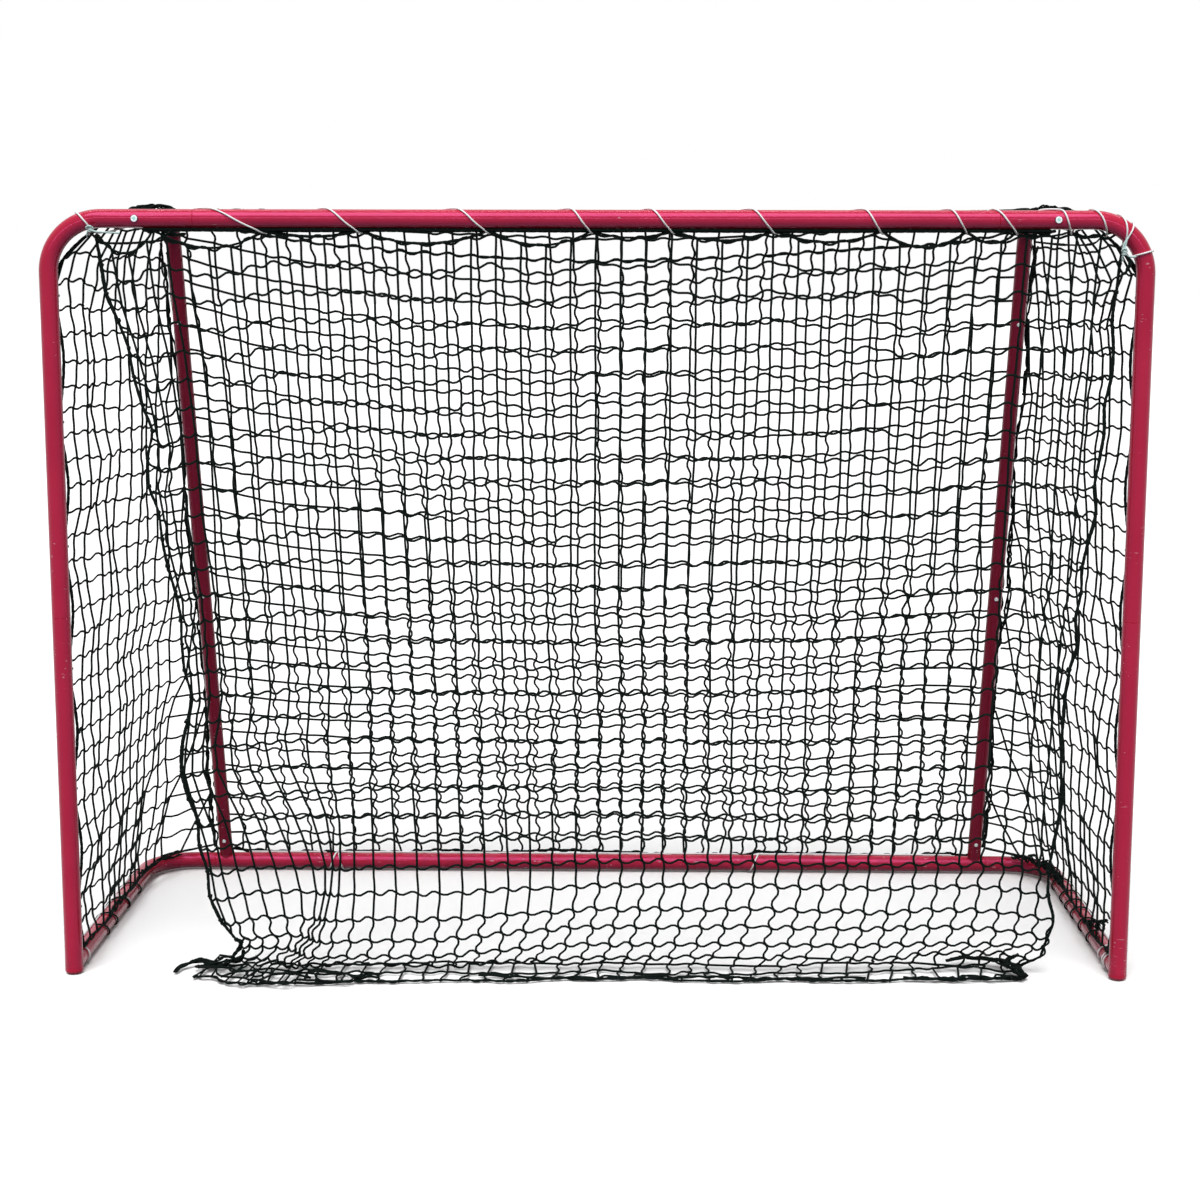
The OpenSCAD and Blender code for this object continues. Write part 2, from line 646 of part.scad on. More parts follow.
// Points of a cord wound round a tube. Each key is [place along the tube, degrees round it];
// step is the most degrees between two rings.
function wound_points(keys, step) = concat(
    [for (k = [0 : len(keys) - 2]) let (
        n = max(1, ceil(abs(keys[k + 1][1] - keys[k][1]) / step))
    ) each [for (i = [0 : n - 1]) blend_of(keys[k], keys[k + 1], i / n)]],
    [keys[len(keys) - 1]]
);

// centre(s), up(s) and side(s) give the wound tube's middle and the two directions across it
module wound_cord(name, keys, centre, up, side) {
    sides = cord_sides;
    wound = wound_points(keys, cord_step);
    outs = [for (p = wound) up(p[0]) * cos(p[1]) + side(p[0]) * sin(p[1])];
    mids = [for (i = [0 : len(wound) - 1]) centre(wound[i][0]) + outs[i] * lace_r];
    last = len(mids) - 1;
    rings = [for (i = [0 : last]) let (
        forward = unit(mids[min(i + 1, last)] - mids[max(i - 1, 0)]),
        across = unit(cross(forward, outs[i])),
        out = cross(across, forward)
    ) [for (k = [0 : sides - 1]) let (a = 360 * (k + 0.5) / sides)
        mids[i] + (out * cos(a) + across * sin(a)) * cord_d / 2]];
    faces = concat(
        [for (r = [0 : last - 1], k = [0 : sides - 1]) let (
            n = (k + 1) % sides, a = r * sides + k, b = r * sides + n,
            c = (r + 1) * sides + n, d = (r + 1) * sides + k
        ) each [[a, c, b], [a, d, c]]],
        [for (k = [1 : sides - 2]) [0, k, k + 1]],
        [for (k = [1 : sides - 2]) [last * sides, last * sides + k + 1, last * sides + k]]
    );
    // Rings nearer than half a turn along the cord are its own next rings, not another turn
    skip = ceil(180 / cord_step) + 1;
    gap = min([for (i = [0 : last - skip], j = [i + skip : last]) norm(mids[i] - mids[j])]) - cord_d;
    echo(str(name, " least gap to itself ", gap, " mm"));
    polyhedron(points = [for (ring = rings) each ring], faces = faces);
}

// The crossbar and its two bends as one line, measured from the middle
function bar_turn(s) = sign(s) * max(0, abs(s) - elbow_x) / bend_r * 180 / PI;
function bar_up(s) = [sin(bar_turn(s)), 0, cos(bar_turn(s))];
function bar_centre(s) = [sign(s) * min(abs(s), elbow_x), 0, top_z - bend_r] + bar_up(s) * bend_r;
function lace_place(key) = key[0] * elbow_x + key[1] * bend_r;

module crossbar_lacing() {
    color(cord_colour) place() wound_cord(
        "crossbar_lacing",
        [for (key = lace_keys) [lace_place(key), key[2]]],
        function(s) bar_centre(s), function(s) bar_up(s), function(s) [0, -1, 0]
    );
}

// A knot with two tails below each end of the crossbar's cord
module lacing_knots() {
    knot_r = 5;
    tail_len = 34;
    for (key = lace_knots) {
        s = lace_place(key);
        middle = bar_centre(s) - bar_up(s) * (lace_outer_r + seat_gap + knot_r);
        color(cord_colour) place() translate(middle) {
            rotate([90, 0, 0]) sphere(knot_r);
            for (tilt = [-28, 22]) rotate([180 - 8, tilt, 0]) cylinder(d = cord_d, h = tail_len);
        }
    }
}

// A cord under a rail is pressed flat where it meets the floor
module above_floor() {
    difference() {
        children();
        translate([-post_x * 2, -base_depth * 2, -tube_d]) cube([post_x * 4, base_depth * 4, tube_d]);
    }
}

module base_lacing_side(name, side, keys) {
    color(cord_colour) place() above_floor() wound_cord(
        name, keys,
        function(s) [side * post_x, s * base_depth, rail_z],
        function(s) [0, 0, 1], function(s) [-side, 0, 0]
    );
}

module base_lacing_back() {
    color(cord_colour) place() above_floor() wound_cord(
        "base_lacing_back", back_rail_keys,
        function(s) [s * stanchion_x, base_depth, rail_z],
        function(s) [0, 0, 1], function(s) [0, 1, 0]
    );
}

corner_tube(-1);  // corner_tube_left
corner_tube(1);  // corner_tube_right
crossbar_tube();
post_tube(-1);  // post_tube_left
post_tube(1);  // post_tube_right
foot_cap(-1);  // foot_cap_left
foot_cap(1);  // foot_cap_right
base_rail(-1);  // base_rail_left
base_rail(1);  // base_rail_right
back_rail();
stanchion_arm(-1);  // stanchion_arm_left
stanchion_arm(1);  // stanchion_arm_right
stanchion_upper(-1);  // stanchion_upper_left
stanchion_upper(1);  // stanchion_upper_right
stanchion_lower(-1);  // stanchion_lower_left
stanchion_lower(1);  // stanchion_lower_right
crossbar_bolts();
arm_inserts();
stanchion_bolts();
stanchion_nuts();
net_hooks(-1);  // net_hooks_left
net_hooks(1);  // net_hooks_right
net_side(-1);  // net_side_left
net_side(1);  // net_side_right
net_back();
net_top();
drop_net();
drop_net_bundle();
crossbar_lacing();
lacing_knots();
base_lacing_side("base_lacing_left", -1, left_rail_keys);  // base_lacing_left
base_lacing_side("base_lacing_right", 1, right_rail_keys);  // base_lacing_right
base_lacing_back();
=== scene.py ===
"""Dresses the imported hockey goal. The metal and plastic CAD nodes stay and get materials. The nets,
ropes and cords are replaced by real netting, in closed tubes and lumps.

Points are in goal-line metres: X across the mouth, Y back from the posts' centres, Z up from the
floor. in_frame() moves them to the CAD frame.
"""
import json
import math

import bpy
import numpy as np
from mathutils import Matrix, Vector


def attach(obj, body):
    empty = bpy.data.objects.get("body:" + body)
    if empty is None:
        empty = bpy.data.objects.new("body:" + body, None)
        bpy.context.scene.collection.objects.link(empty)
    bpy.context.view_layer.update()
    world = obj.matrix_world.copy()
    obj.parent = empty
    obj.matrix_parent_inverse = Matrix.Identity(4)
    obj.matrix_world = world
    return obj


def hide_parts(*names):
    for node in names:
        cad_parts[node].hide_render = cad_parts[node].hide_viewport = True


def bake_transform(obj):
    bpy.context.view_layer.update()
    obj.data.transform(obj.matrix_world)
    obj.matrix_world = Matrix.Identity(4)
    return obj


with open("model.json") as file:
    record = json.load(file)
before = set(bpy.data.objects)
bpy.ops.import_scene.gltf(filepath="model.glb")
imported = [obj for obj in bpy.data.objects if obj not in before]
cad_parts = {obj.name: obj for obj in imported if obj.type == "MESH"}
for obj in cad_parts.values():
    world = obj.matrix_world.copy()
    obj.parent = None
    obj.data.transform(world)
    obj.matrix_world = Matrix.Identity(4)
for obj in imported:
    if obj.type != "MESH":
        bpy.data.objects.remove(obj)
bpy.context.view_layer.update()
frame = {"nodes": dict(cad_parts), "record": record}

# ---------- sizes, in metres ----------

HINGE = frame["record"]["behaviour"]["joints"][0]["pos_m"]
GOAL_LINE_Y = HINGE[1]
TOP_Z = HINGE[2]
TUBE_R = 0.014
ARM_R = 0.012
POST_X = 0.814
BEND_R = 0.08
ELBOW_X = POST_X - BEND_R
BASE_DEPTH = 0.585
TOP_DEPTH = 0.255
RAIL_Z = 0.01694
STANCHION_X = 0.68
LEAN = math.atan2(BASE_DEPTH - TOP_DEPTH, TOP_Z - RAIL_Z)
LEAN_LEN = math.hypot(BASE_DEPTH - TOP_DEPTH, TOP_Z - RAIL_Z)
ARM_BEND_R = 0.05
ARM_TANGENT = ARM_BEND_R * math.tan((math.pi / 2 - LEAN) / 2)
STRAIGHT_LEN = LEAN_LEN - ARM_TANGENT
HOOK_FIRST_Z = 0.1
HOOK_PITCH = 0.19

TWINE_R = 0.0018
BACK_TWINE_R = 0.0019
ROPE_R = 0.0025
SEAM_R = 0.002
SIDE_SEAM_R = 0.0019
CORD_R = 0.0015
MESH_ACROSS = 0.0398
MESH_DOWN = 0.042
REST_Z = 0.0022


# ---------- mesh building ----------

def in_frame(points):
    """Goal-line points moved to the CAD frame."""
    return np.asarray(points, float) + np.array([0.0, GOAL_LINE_Y, 0.0])


def unit(vectors):
    return vectors / np.maximum(np.linalg.norm(vectors, axis=-1, keepdims=True), 1e-9)


def xyz(x, y, z):
    """Points from their coordinates, each an array or one number for them all."""
    return np.stack(np.broadcast_arrays(x, y, z), -1)


def running(values):
    """The running total of the values, from 0."""
    return np.concatenate([[0], np.cumsum(values)])


def distances(points):
    """How far along the line each of its points is."""
    return running(np.linalg.norm(np.diff(points, axis=0), axis=1))


def metres(tenths):
    """Tenths of a millimetre turned into metres."""
    return np.array(tenths) / 10000


def eased(t):
    return t * t * (3 - 2 * t)


def hump(t):
    """0 at 0, 1 halfway and 0 again at 1."""
    return np.sin(np.pi * np.clip(t, 0, 1))


def placed(name, data):
    """A new object of the scene."""
    made = bpy.data.objects.new(name, data)
    bpy.context.scene.collection.objects.link(made)
    return made


class Shape:
    """Collects closed parts and makes one mesh object of them."""

    def __init__(self):
        self.points = []
        self.faces = []
        self.count = 0

    def add(self, points, *face_groups):
        self.points.append(points.reshape(-1, 3))
        self.faces += [group + self.count for group in face_groups]
        self.count += len(self.points[-1])

    def build(self, name, material):
        mesh = bpy.data.meshes.new(name)
        faces = [face for group in self.faces for face in group.tolist()]
        mesh.from_pydata(in_frame(np.concatenate(self.points)), [], faces, shade_flat=False)
        mesh.validate()
        mesh.materials.append(material)
        return placed(name, mesh)

    def tubes(self, paths, radius, sides, ridges=1.0, turns_per_m=0.0):
        """Closed tubes round (N, M, 3) paths. radius is one number or M of them, ridges is each
        side's share of it, and the sides turn along the path by turns_per_m."""
        paths = np.asarray(paths, float)
        paths = paths[None] if paths.ndim == 2 else paths
        n, m = paths.shape[:2]
        ahead = unit(np.gradient(paths, axis=1))
        normal = np.eye(3)[np.argmin(np.abs(ahead[:, 0]), axis=1)]
        normals = np.empty_like(paths)
        for k in range(m):
            along = ahead[:, k]
            normal = unit(normal - np.sum(normal * along, axis=1, keepdims=True) * along)
            normals[:, k] = normal
        across = np.cross(ahead, normals)
        steps = np.linalg.norm(np.diff(paths, axis=1), axis=2)
        length = np.concatenate([np.zeros((n, 1)), np.cumsum(steps, axis=1)], axis=1)
        angle = 2 * np.pi * (turns_per_m * length[..., None] + np.arange(sides) / sides)
        reach = np.broadcast_to(radius, (n, m))[..., None] * np.broadcast_to(ridges, sides)
        rings = (paths[:, :, None] + normals[:, :, None] * (np.cos(angle) * reach)[..., None]
                 + across[:, :, None] * (np.sin(angle) * reach)[..., None])
        side = np.arange(sides)
        after = (side + 1) % sides
        first = (np.arange(n) * m * sides)[:, None, None]
        ring = first + (np.arange(m - 1) * sides)[None, :, None]
        walls = np.stack([ring + side, ring + after, ring + after + sides, ring + side + sides], -1)
        start = first[:, 0] + side[::-1]
        end = first[:, 0] + (m - 1) * sides + side
        self.add(rings, walls.reshape(-1, 4), start, end)

    def lumps(self, centres, radius, rng):
        """A small closed knot at each centre, turned at random."""
        centres = np.asarray(centres, float).reshape(-1, 3)
        n, sides, waist, squash = len(centres), 5, 0.86, 0.8
        turn = 2 * np.pi * np.arange(sides) / sides
        rings = np.concatenate([
            xyz(waist * np.cos(turn + shift), waist * np.sin(turn + shift), high * squash)
            for shift, high in ((0.0, -0.5), (np.pi / sides, 0.5))])
        ball = np.concatenate([rings, [[0, 0, -squash], [0, 0, squash]]])
        w, x, y, z = unit(rng.normal(size=(n, 4))).T
        turned = np.stack([
            xyz(1 - 2 * (y * y + z * z), 2 * (x * y - w * z), 2 * (x * z + w * y)),
            xyz(2 * (x * y + w * z), 1 - 2 * (x * x + z * z), 2 * (y * z - w * x)),
            xyz(2 * (x * z - w * y), 2 * (y * z + w * x), 1 - 2 * (x * x + y * y))], -2)
        size = radius * rng.uniform(0.85, 1.15, (n, 1, 1))
        points = centres[:, None] + np.einsum("nij,kj->nki", turned, ball) * size
        side = np.arange(sides)
        after = (side + 1) % sides
        faces = np.concatenate([
            xyz(side, after, sides + side), xyz(after, sides + after, sides + side),
            xyz(after, side, 2 * sides), xyz(sides + side, sides + after, 2 * sides + 1)])
        base = (np.arange(n) * len(ball))[:, None, None]
        self.add(points, (base + faces).reshape(-1, 3))


def smooth_line(keys, spacing):
    """A Catmull-Rom curve through the keys, with points about spacing apart."""
    keys = np.asarray(keys, float)
    ends = np.concatenate([[2 * keys[0] - keys[1]], keys, [2 * keys[-1] - keys[-2]]])
    line = []
    for k in range(len(keys) - 1):
        p0, p1, p2, p3 = ends[k:k + 4]
        steps = max(2, int(np.linalg.norm(p2[:3] - p1[:3]) / spacing))
        t = (np.arange(steps) / steps)[:, None]
        line.append(0.5 * (2 * p1 + (p2 - p0) * t + (2 * p0 - 5 * p1 + 4 * p2 - p3) * t ** 2
                           + (3 * p1 - p0 - 3 * p2 + p3) * t ** 3))
    return np.concatenate(line + [keys[-1:]])


def even_line(points, spacing):
    """The same line with its points an even distance apart."""
    length = distances(points)
    at = np.linspace(0, length[-1], max(3, int(length[-1] / spacing) + 1))
    return np.stack([np.interp(at, length, axis) for axis in points.T], -1)


def ripple(shape, cells, rng):
    """Smooth random values from -1 to 1 over a grid, with so many bumps each way."""
    coarse = rng.uniform(-1, 1, (cells[0] + 2, cells[1] + 2))
    u = np.linspace(0, cells[0], shape[0])
    v = np.linspace(0, cells[1], shape[1])
    iu, iv = u.astype(int), v.astype(int)
    fu, fv = eased((u - iu)[:, None]), eased((v - iv)[None])
    a, b = coarse[np.ix_(iu, iv)], coarse[np.ix_(iu + 1, iv)]
    c, d = coarse[np.ix_(iu, iv + 1)], coarse[np.ix_(iu + 1, iv + 1)]
    return (a * (1 - fu) + b * fu) * (1 - fv) + (c * (1 - fu) + d * fu) * fv


def wander(count, bumps, rng):
    """Smooth random values from -1 to 1 along a line."""
    return ripple((count, 2), (bumps, 1), rng)[:, 0]


ROPE_RIDGES = np.array([1.0, 0.97, 0.8] * 3)
STRAND_PITCH = 0.016
LUMPY = 0.3


def rope(shape, points, radius, spacing=0.0032, lumpy=0.0, rng=None):
    """A laid rope of three strands along a smooth line through the points."""
    line = even_line(smooth_line(points, spacing), spacing)
    thick = np.full(len(line), radius)
    if lumpy:
        thick *= 1 + lumpy * wander(len(line), max(2, len(line) // 9), rng)
    thick[[0, -1]] *= 0.55
    shape.tubes(line, thick, 9, ROPE_RIDGES, 1 / (3 * STRAND_PITCH))


# Which way the S of spare twine goes, by how its bar lies. On the floor it goes level, either way.
S_WAYS = {"across": np.array([0.0, 0.0, -1.0]), "down": np.array([1.0, 0.0, 0.0]),
          "side": np.array([0.0, 1.0, 0.0])}
WIDEST_S = 0.0036


def bars(shape, a, b, rest, rng, lie="across", deepest=0.02, radius=TWINE_R, ring_count=7):
    """Twine from each point a to its point b. Twine longer than the way between them lies in an S,
    and twine much longer hangs in a loop no more than deepest. lie is a key of S_WAYS or floor."""
    a, b = a.reshape(-1, 3), b.reshape(-1, 3)
    chord = np.linalg.norm(b - a, axis=1)
    spare = np.maximum(rest / np.maximum(chord, 1e-4) - 1, 0.0)
    wave = np.minimum(chord / np.pi * np.sqrt(spare), WIDEST_S) * rng.uniform(0.7, 1.15, len(a))
    wave += rng.normal(size=len(a)) * 0.0003
    loose = np.clip((spare - 0.3) / 0.6, 0, 1)
    hang = loose * np.minimum(0.5 * np.sqrt(np.maximum(rest ** 2 - chord ** 2, 0)), deepest)
    along = unit(b - a)
    if lie == "floor":
        first = np.cross(along, [0, 0, 1.0]) * rng.choice([-1, 1], (len(a), 1))
    else:
        first = S_WAYS[lie]
    side = unit(first - np.sum(along * first, axis=1, keepdims=True) * along
                + rng.normal(size=a.shape) * 0.15)
    t = np.linspace(0, 1, ring_count)
    bend = (wave * (1 - loose))[:, None] * np.sin(2 * np.pi * t) + hang[:, None] * hump(t)
    paths = a[:, None] + (b - a)[:, None] * t[None, :, None] + side[:, None] * bend[..., None]
    paths[..., 2] = np.maximum(paths[..., 2], REST_Z * 0.5)
    shape.tubes(paths, radius, 4)


def guide(keys, spacing):
    """An even curve through the keys, its directions, and the near level directions across it."""
    line = even_line(smooth_line(keys, spacing), spacing)
    ahead = unit(np.gradient(line[:, :3], axis=0))
    return line, ahead, unit(np.cross(ahead, [0.02, 0.05, 1.0]))


def tangle(shape, keys, strands, rng, turns_per_m, spacing=0.0045, flat=1.0, curl=0.0,
           radius=TWINE_R):
    """Loose strands of twine wound together along a line. Each key is (x, y, z, half thickness).
    flat squeezes the tangle in height, and curl throws its strands into loops along the line."""
    line, ahead, across = guide(keys, spacing)
    count, half = len(line), line[:, 3]
    over = np.cross(across, ahead)
    run = np.arange(count) * spacing
    bumps = max(2, int(count * spacing / 0.022))
    paths = []
    for k in range(strands):
        stray = [wander(count, bumps, rng) for _ in range(3)]
        angle = 2 * np.pi * (k / strands + turns_per_m * rng.uniform(0.5, 1.2) * run)
        angle += 2.2 * stray[0]
        reach = half * (0.6 + 0.4 * stray[1])
        path = line[:, :3] + across * (np.cos(angle) * reach + 0.3 * half * stray[2])[:, None]
        path += over * (np.sin(angle) * reach * flat)[:, None]
        path += ahead * (np.sin(angle + 1.2) * reach * curl)[:, None]
        path[:, 2] = np.maximum(path[:, 2], REST_Z * 0.6)
        paths.append(path)
    shape.tubes(np.array(paths), radius, 5)


def heap(shape, keys, rows, rng):
    """Netting bunched along a line on the floor. Each key is (x, y, z, half width)."""
    pitch, bar, rise = 0.026, 0.034, 0.006
    line, _, across = guide(keys, pitch)
    share = np.linspace(-1, 1, rows)
    knots = line[:, None, :3] + across[:, None] * (share[None] * line[:, 3:4])[..., None]
    loose = np.clip(line[:, 3] / 0.02, 0.15, 1.0)[:, None, None]
    knots += rng.normal(size=knots.shape) * np.array([0.006, 0.0055, 0.0]) * loose
    knots[..., 2] += np.abs(rng.normal(size=knots.shape[:2])) * rise * loose[..., 0]
    knots[..., 2] = np.maximum(knots[..., 2], REST_Z)
    grid_bars(shape, knots, bar, bar, rng, ("floor", "floor"), 0.006)


SETTLE_ROUNDS = 40


def settle(knots, free):
    """Draws the free knots together until no twine is longer than it is, and keeps them off the
    floor. free is 0 to 1 for each knot."""
    p = knots.copy()
    for _ in range(SETTLE_ROUNDS):
        push = np.zeros_like(p)
        pulls = np.full(p.shape[:2] + (1,), 1e-9)
        for a, b, rest in ((np.s_[:-1, :], np.s_[1:, :], MESH_ACROSS),
                           (np.s_[:, :-1], np.s_[:, 1:], MESH_DOWN)):
            gap = p[b] - p[a]
            length = np.linalg.norm(gap, axis=2, keepdims=True)
            over = np.maximum(length - rest, 0)
            move = gap / np.maximum(length, 1e-9) * over / 2
            push[a] += move
            push[b] -= move
            pulls[a] += over > 0
            pulls[b] += over > 0
        p += push / np.maximum(pulls, 1) * free[..., None]
        p[..., 2] = np.maximum(p[..., 2], REST_Z)
    return p


# ---------- materials ----------

def material(name, colour, roughness, **sockets):
    made = bpy.data.materials.new(name)
    made.use_nodes = True
    sockets.update(Base_Color=(*colour, 1), Roughness=roughness)
    inputs = made.node_tree.nodes["Principled BSDF"].inputs
    for socket, value in sockets.items():
        inputs[socket.replace("_", " ")].default_value = value
    return made


class Nodes:
    """A short way to write the nodes of a material or the world."""

    def __init__(self, owner, shader="Principled BSDF"):
        self.owner = owner
        self.tree = owner.node_tree
        self.shader = self.tree.nodes[shader]
        self.place = self.tree.nodes.new("ShaderNodeTexCoord").outputs["Object"]

    def node(self, kind, inputs=None, **values):
        made = self.tree.nodes.new("ShaderNode" + kind)
        for key, value in values.items():
            setattr(made, key, value)
        for key, value in (inputs or {}).items():
            if isinstance(value, bpy.types.NodeSocket):
                self.tree.links.new(value, made.inputs[key])
            else:
                made.inputs[key].default_value = value
        return made

    def noise(self, scale, detail=3.0, rough=0.55, place=None):
        inputs = {"Vector": place or self.place, "Scale": scale, "Detail": detail,
                  "Roughness": rough}
        return self.node("TexNoise", inputs).outputs["Fac"]

    def stretched(self, factors):
        return self.node("Mapping", {"Vector": self.place, "Scale": factors}).outputs["Vector"]

    def span(self, value, low, high, to_low=0.0, to_high=1.0):
        """value from low..high turned into to_low..to_high, and held there beyond."""
        return self.node("MapRange", {"Value": value, "From Min": low, "From Max": high,
                                      "To Min": to_low, "To Max": to_high}).outputs["Result"]

    def math(self, operation, a, b=0.0):
        return self.node("Math", {0: a, 1: b}, operation=operation).outputs[0]

    def mix(self, share, a, b):
        """Colour a where share is 0 and b where it is 1. A colour is a socket or three numbers."""
        a, b = (c if isinstance(c, bpy.types.NodeSocket) else (*c, 1) for c in (a, b))
        return self.node("Mix", {0: share, 6: a, 7: b}, data_type="RGBA").outputs[2]

    def bump(self, height, distance, strength):
        inputs = {"Height": height, "Distance": distance, "Strength": strength}
        return self.node("Bump", inputs).outputs["Normal"]

    def in_sight(self):
        """1 for what the camera sees, also by way of gloss or glass, and 0 for other rays."""
        path = self.node("LightPath").outputs
        seen = self.math("MAXIMUM", path["Is Camera Ray"], path["Is Glossy Ray"])
        return self.math("MAXIMUM", seen, path["Is Transmission Ray"])

    def set(self, socket, value):
        self.tree.links.new(value, self.shader.inputs[socket])

    def dressed(self, colour, roughness, *relief):
        """The material, with these for its colour, its roughness and its bump()."""
        self.set("Base Color", colour)
        self.set("Roughness", roughness)
        self.set("Normal", self.bump(*relief))
        return self.owner


def powder_coat(name, shade=1.0):
    """Glossy crimson powder coat: orange peel, uneven depth, fine pale scuffs, and dirt by the floor.
    shade is below 1 for the stanchions' copy, darker and less glossy as painted shade."""
    n = Nodes(material(name, PAINT, 0.25, Specular_IOR_Level=0.5 * shade,
                       Specular_Tint=GLOSS_TINT))
    cloud = n.span(n.noise(7.0, 4), 0.3, 0.7)
    depth = n.mix(cloud, [shade * c for c in PAINT_DEEP], [shade * c for c in PAINT_LIGHT])
    height = n.node("SeparateXYZ", {0: n.place}).outputs["Z"]
    low = n.span(height, 0.0, 0.05, 1.0, 0.0)
    grime = n.math("MULTIPLY", low, n.span(n.noise(60.0, 5), 0.46, 0.62, 0.0, 0.5))
    dirty = n.mix(grime, depth, (0.16, 0.022, 0.034))
    scuffs = n.span(n.noise(260.0, 2, place=n.stretched((0.25, 1.0, 1.0))), 0.67, 0.72, 0.0, 0.75)
    worn = n.span(height, 0.04, 0.12, 0.4, 0.5)
    marks = n.math("MULTIPLY", scuffs, n.span(n.math("SUBTRACT", n.noise(9.0), worn), 0.05, 0.12))
    base = n.span(n.noise(35.0, 4), 0.3, 0.7, 0.1, 0.18)
    rough = n.math("ADD", n.math("ADD", base, n.math("MULTIPLY", grime, 0.5)),
                   n.math("MULTIPLY", marks, 0.4))
    return n.dressed(n.mix(marks, dirty, (0.62, 0.42, 0.46)), rough, n.noise(700.0, 1, 0.4),
                     0.0006, 0.08)


def moulded_cap():
    """Crimson moulded plastic, scraped pale round its lower edge."""
    n = Nodes(material("moulded_cap", PAINT_DEEP, 0.4, Specular_Tint=GLOSS_TINT))
    height = n.node("SeparateXYZ", {0: n.place}).outputs["Z"]
    scrape = n.math("MULTIPLY", n.span(height, 0.0, 0.006, 1.0, 0.0),
                    n.span(n.noise(420.0, 4), 0.4, 0.6, 0.2, 0.9))
    tone = n.mix(n.span(n.noise(90.0, 4), 0.3, 0.7), PAINT_DEEP, PAINT)
    return n.dressed(n.mix(scrape, tone, (0.16, 0.09, 0.09)), n.span(scrape, 0, 1, 0.38, 0.75),
                     n.noise(1500.0, 2), 0.0004, 0.2)


def zinc():
    """Zinc plate with faint spangle. On the crossbar's bolts a dark rim of painted shade and a
    blue-green painted reflection in the middle.
    """
    n = Nodes(material("zinc_plate", (0.5, 0.52, 0.54), 0.3, Metallic=1.0))
    spangle = n.node("TexVoronoi", {"Vector": n.place, "Scale": 900.0}).outputs["Color"]
    tone = n.node("SeparateColor", {0: spangle}).outputs[0]
    plate = n.mix(tone, (0.4, 0.42, 0.44), (0.58, 0.6, 0.61))
    split = n.node("SeparateXYZ", {0: n.place})
    aside = n.math("SUBTRACT", n.math("ABSOLUTE", split.outputs["X"]), STANCHION_X)
    above = n.math("SUBTRACT", split.outputs["Z"], TOP_Z)
    off = n.math("SQRT", n.math("ADD", n.math("MULTIPLY", aside, aside),
                                n.math("MULTIPLY", above, above)))
    # Painted reflection: blue-green in the middle of each crossbar bolt
    with_painted_reflection = n.mix(n.span(off, 0.0022, 0.003, 1.0, 0.0), plate, (0.2, 0.4, 0.36))
    # Painted shade: dark round the edge of each crossbar bolt's head
    with_painted_rim_shade = n.mix(n.span(off, 0.0043, 0.0053), with_painted_reflection, (0.05, 0.04, 0.05))
    return n.dressed(n.mix(n.span(off, 0.012, 0.013), with_painted_rim_shade, plate),
                     n.span(n.noise(1500.0, 3), 0.3, 0.7, 0.25, 0.45),
                     n.noise(2500.0, 2, place=n.stretched((1, 1, 0.1))), 0.0002, 0.25)


def black_plastic():
    """Matte black moulded plastic with a fine grain."""
    n = Nodes(material("black_plastic", (0.012, 0.012, 0.012), 0.5))
    return n.dressed(n.mix(n.noise(300.0, 4), (0.006, 0.006, 0.006), (0.025, 0.026, 0.026)),
                     n.span(n.noise(800.0, 3), 0.3, 0.7, 0.42, 0.62), n.noise(2600.0, 2),
                     0.0003, 0.3)


def twine():
    """Dark green-black knotted twine: twisted fibres, paler where it is rubbed."""
    n = Nodes(material("net_twine", TWINE, 0.8, Specular_IOR_Level=0.08))
    fibre = n.noise(2600.0, 3, 0.7)
    patch = n.span(n.noise(14.0, 4), 0.35, 0.65)
    deep = n.mix(patch, TWINE, TWINE_PALE)
    return n.dressed(n.mix(n.span(fibre, 0.4, 0.75, 0.0, 0.7), deep, TWINE_FIBRE),
                     n.span(fibre, 0.3, 0.7, 0.65, 0.9), fibre, 0.0006, 0.6)


def braid(name, plain, groove_shade, soiled):
    """White braided cord, slightly soiled, with the braid's fine relief and painted shade in its
    grooves.
    """
    n = Nodes(material(name, plain, 0.6, Specular_IOR_Level=0.35, Sheen_Weight=0.5,
                       Sheen_Roughness=0.5))
    weave = n.node("TexVoronoi", {"Vector": n.place, "Scale": 1300.0}).outputs["Distance"]
    soil = n.span(n.noise(40.0, 4), 0.45, 0.75, 0.0, 0.55)
    # Painted shade: the braid's grooves are darker
    shade = n.mix(n.span(weave, 0.1, 0.7), plain, groove_shade)
    return n.dressed(n.mix(soil, shade, soiled), n.span(weave, 0.0, 0.8, 0.5, 0.75),
                     n.math("SUBTRACT", 1.0, weave), 0.0004, 0.5)


PAINT = (0.45, 0.015, 0.038)
PAINT_DEEP = (0.405, 0.012, 0.032)
PAINT_LIGHT = (0.48, 0.018, 0.045)
GLOSS_TINT = (1.0, 0.22, 0.6, 1.0)
TWINE = (0.001, 0.003, 0.0026)
TWINE_PALE = (0.0018, 0.0052, 0.0044)
TWINE_FIBRE = (0.004, 0.01, 0.0085)
CORD = (0.96, 0.95, 0.97)
# The cord's colour in the braid's grooves, darker as painted shade
CORD_GROOVE_SHADE = (0.86, 0.88, 0.9)
CORD_SOIL = (0.8, 0.85, 0.85)

# A copy of the powder coat darkened to 0.55 with weaker gloss, as painted shade for the stanchions
shaded_powder_coat = powder_coat("powder_coat_painted_shade", 0.55)
net_twine = twine()
white_cord = braid("white_cord", CORD, CORD_GROOVE_SHADE, CORD_SOIL)
# The bow knots' cord: the white cord coloured grey blue-green all over, as painted shade
knot_cord_painted_shade = braid("knot_cord_painted_shade", (0.66, 0.8, 0.79), (0.42, 0.6, 0.58), (0.5, 0.68, 0.66))

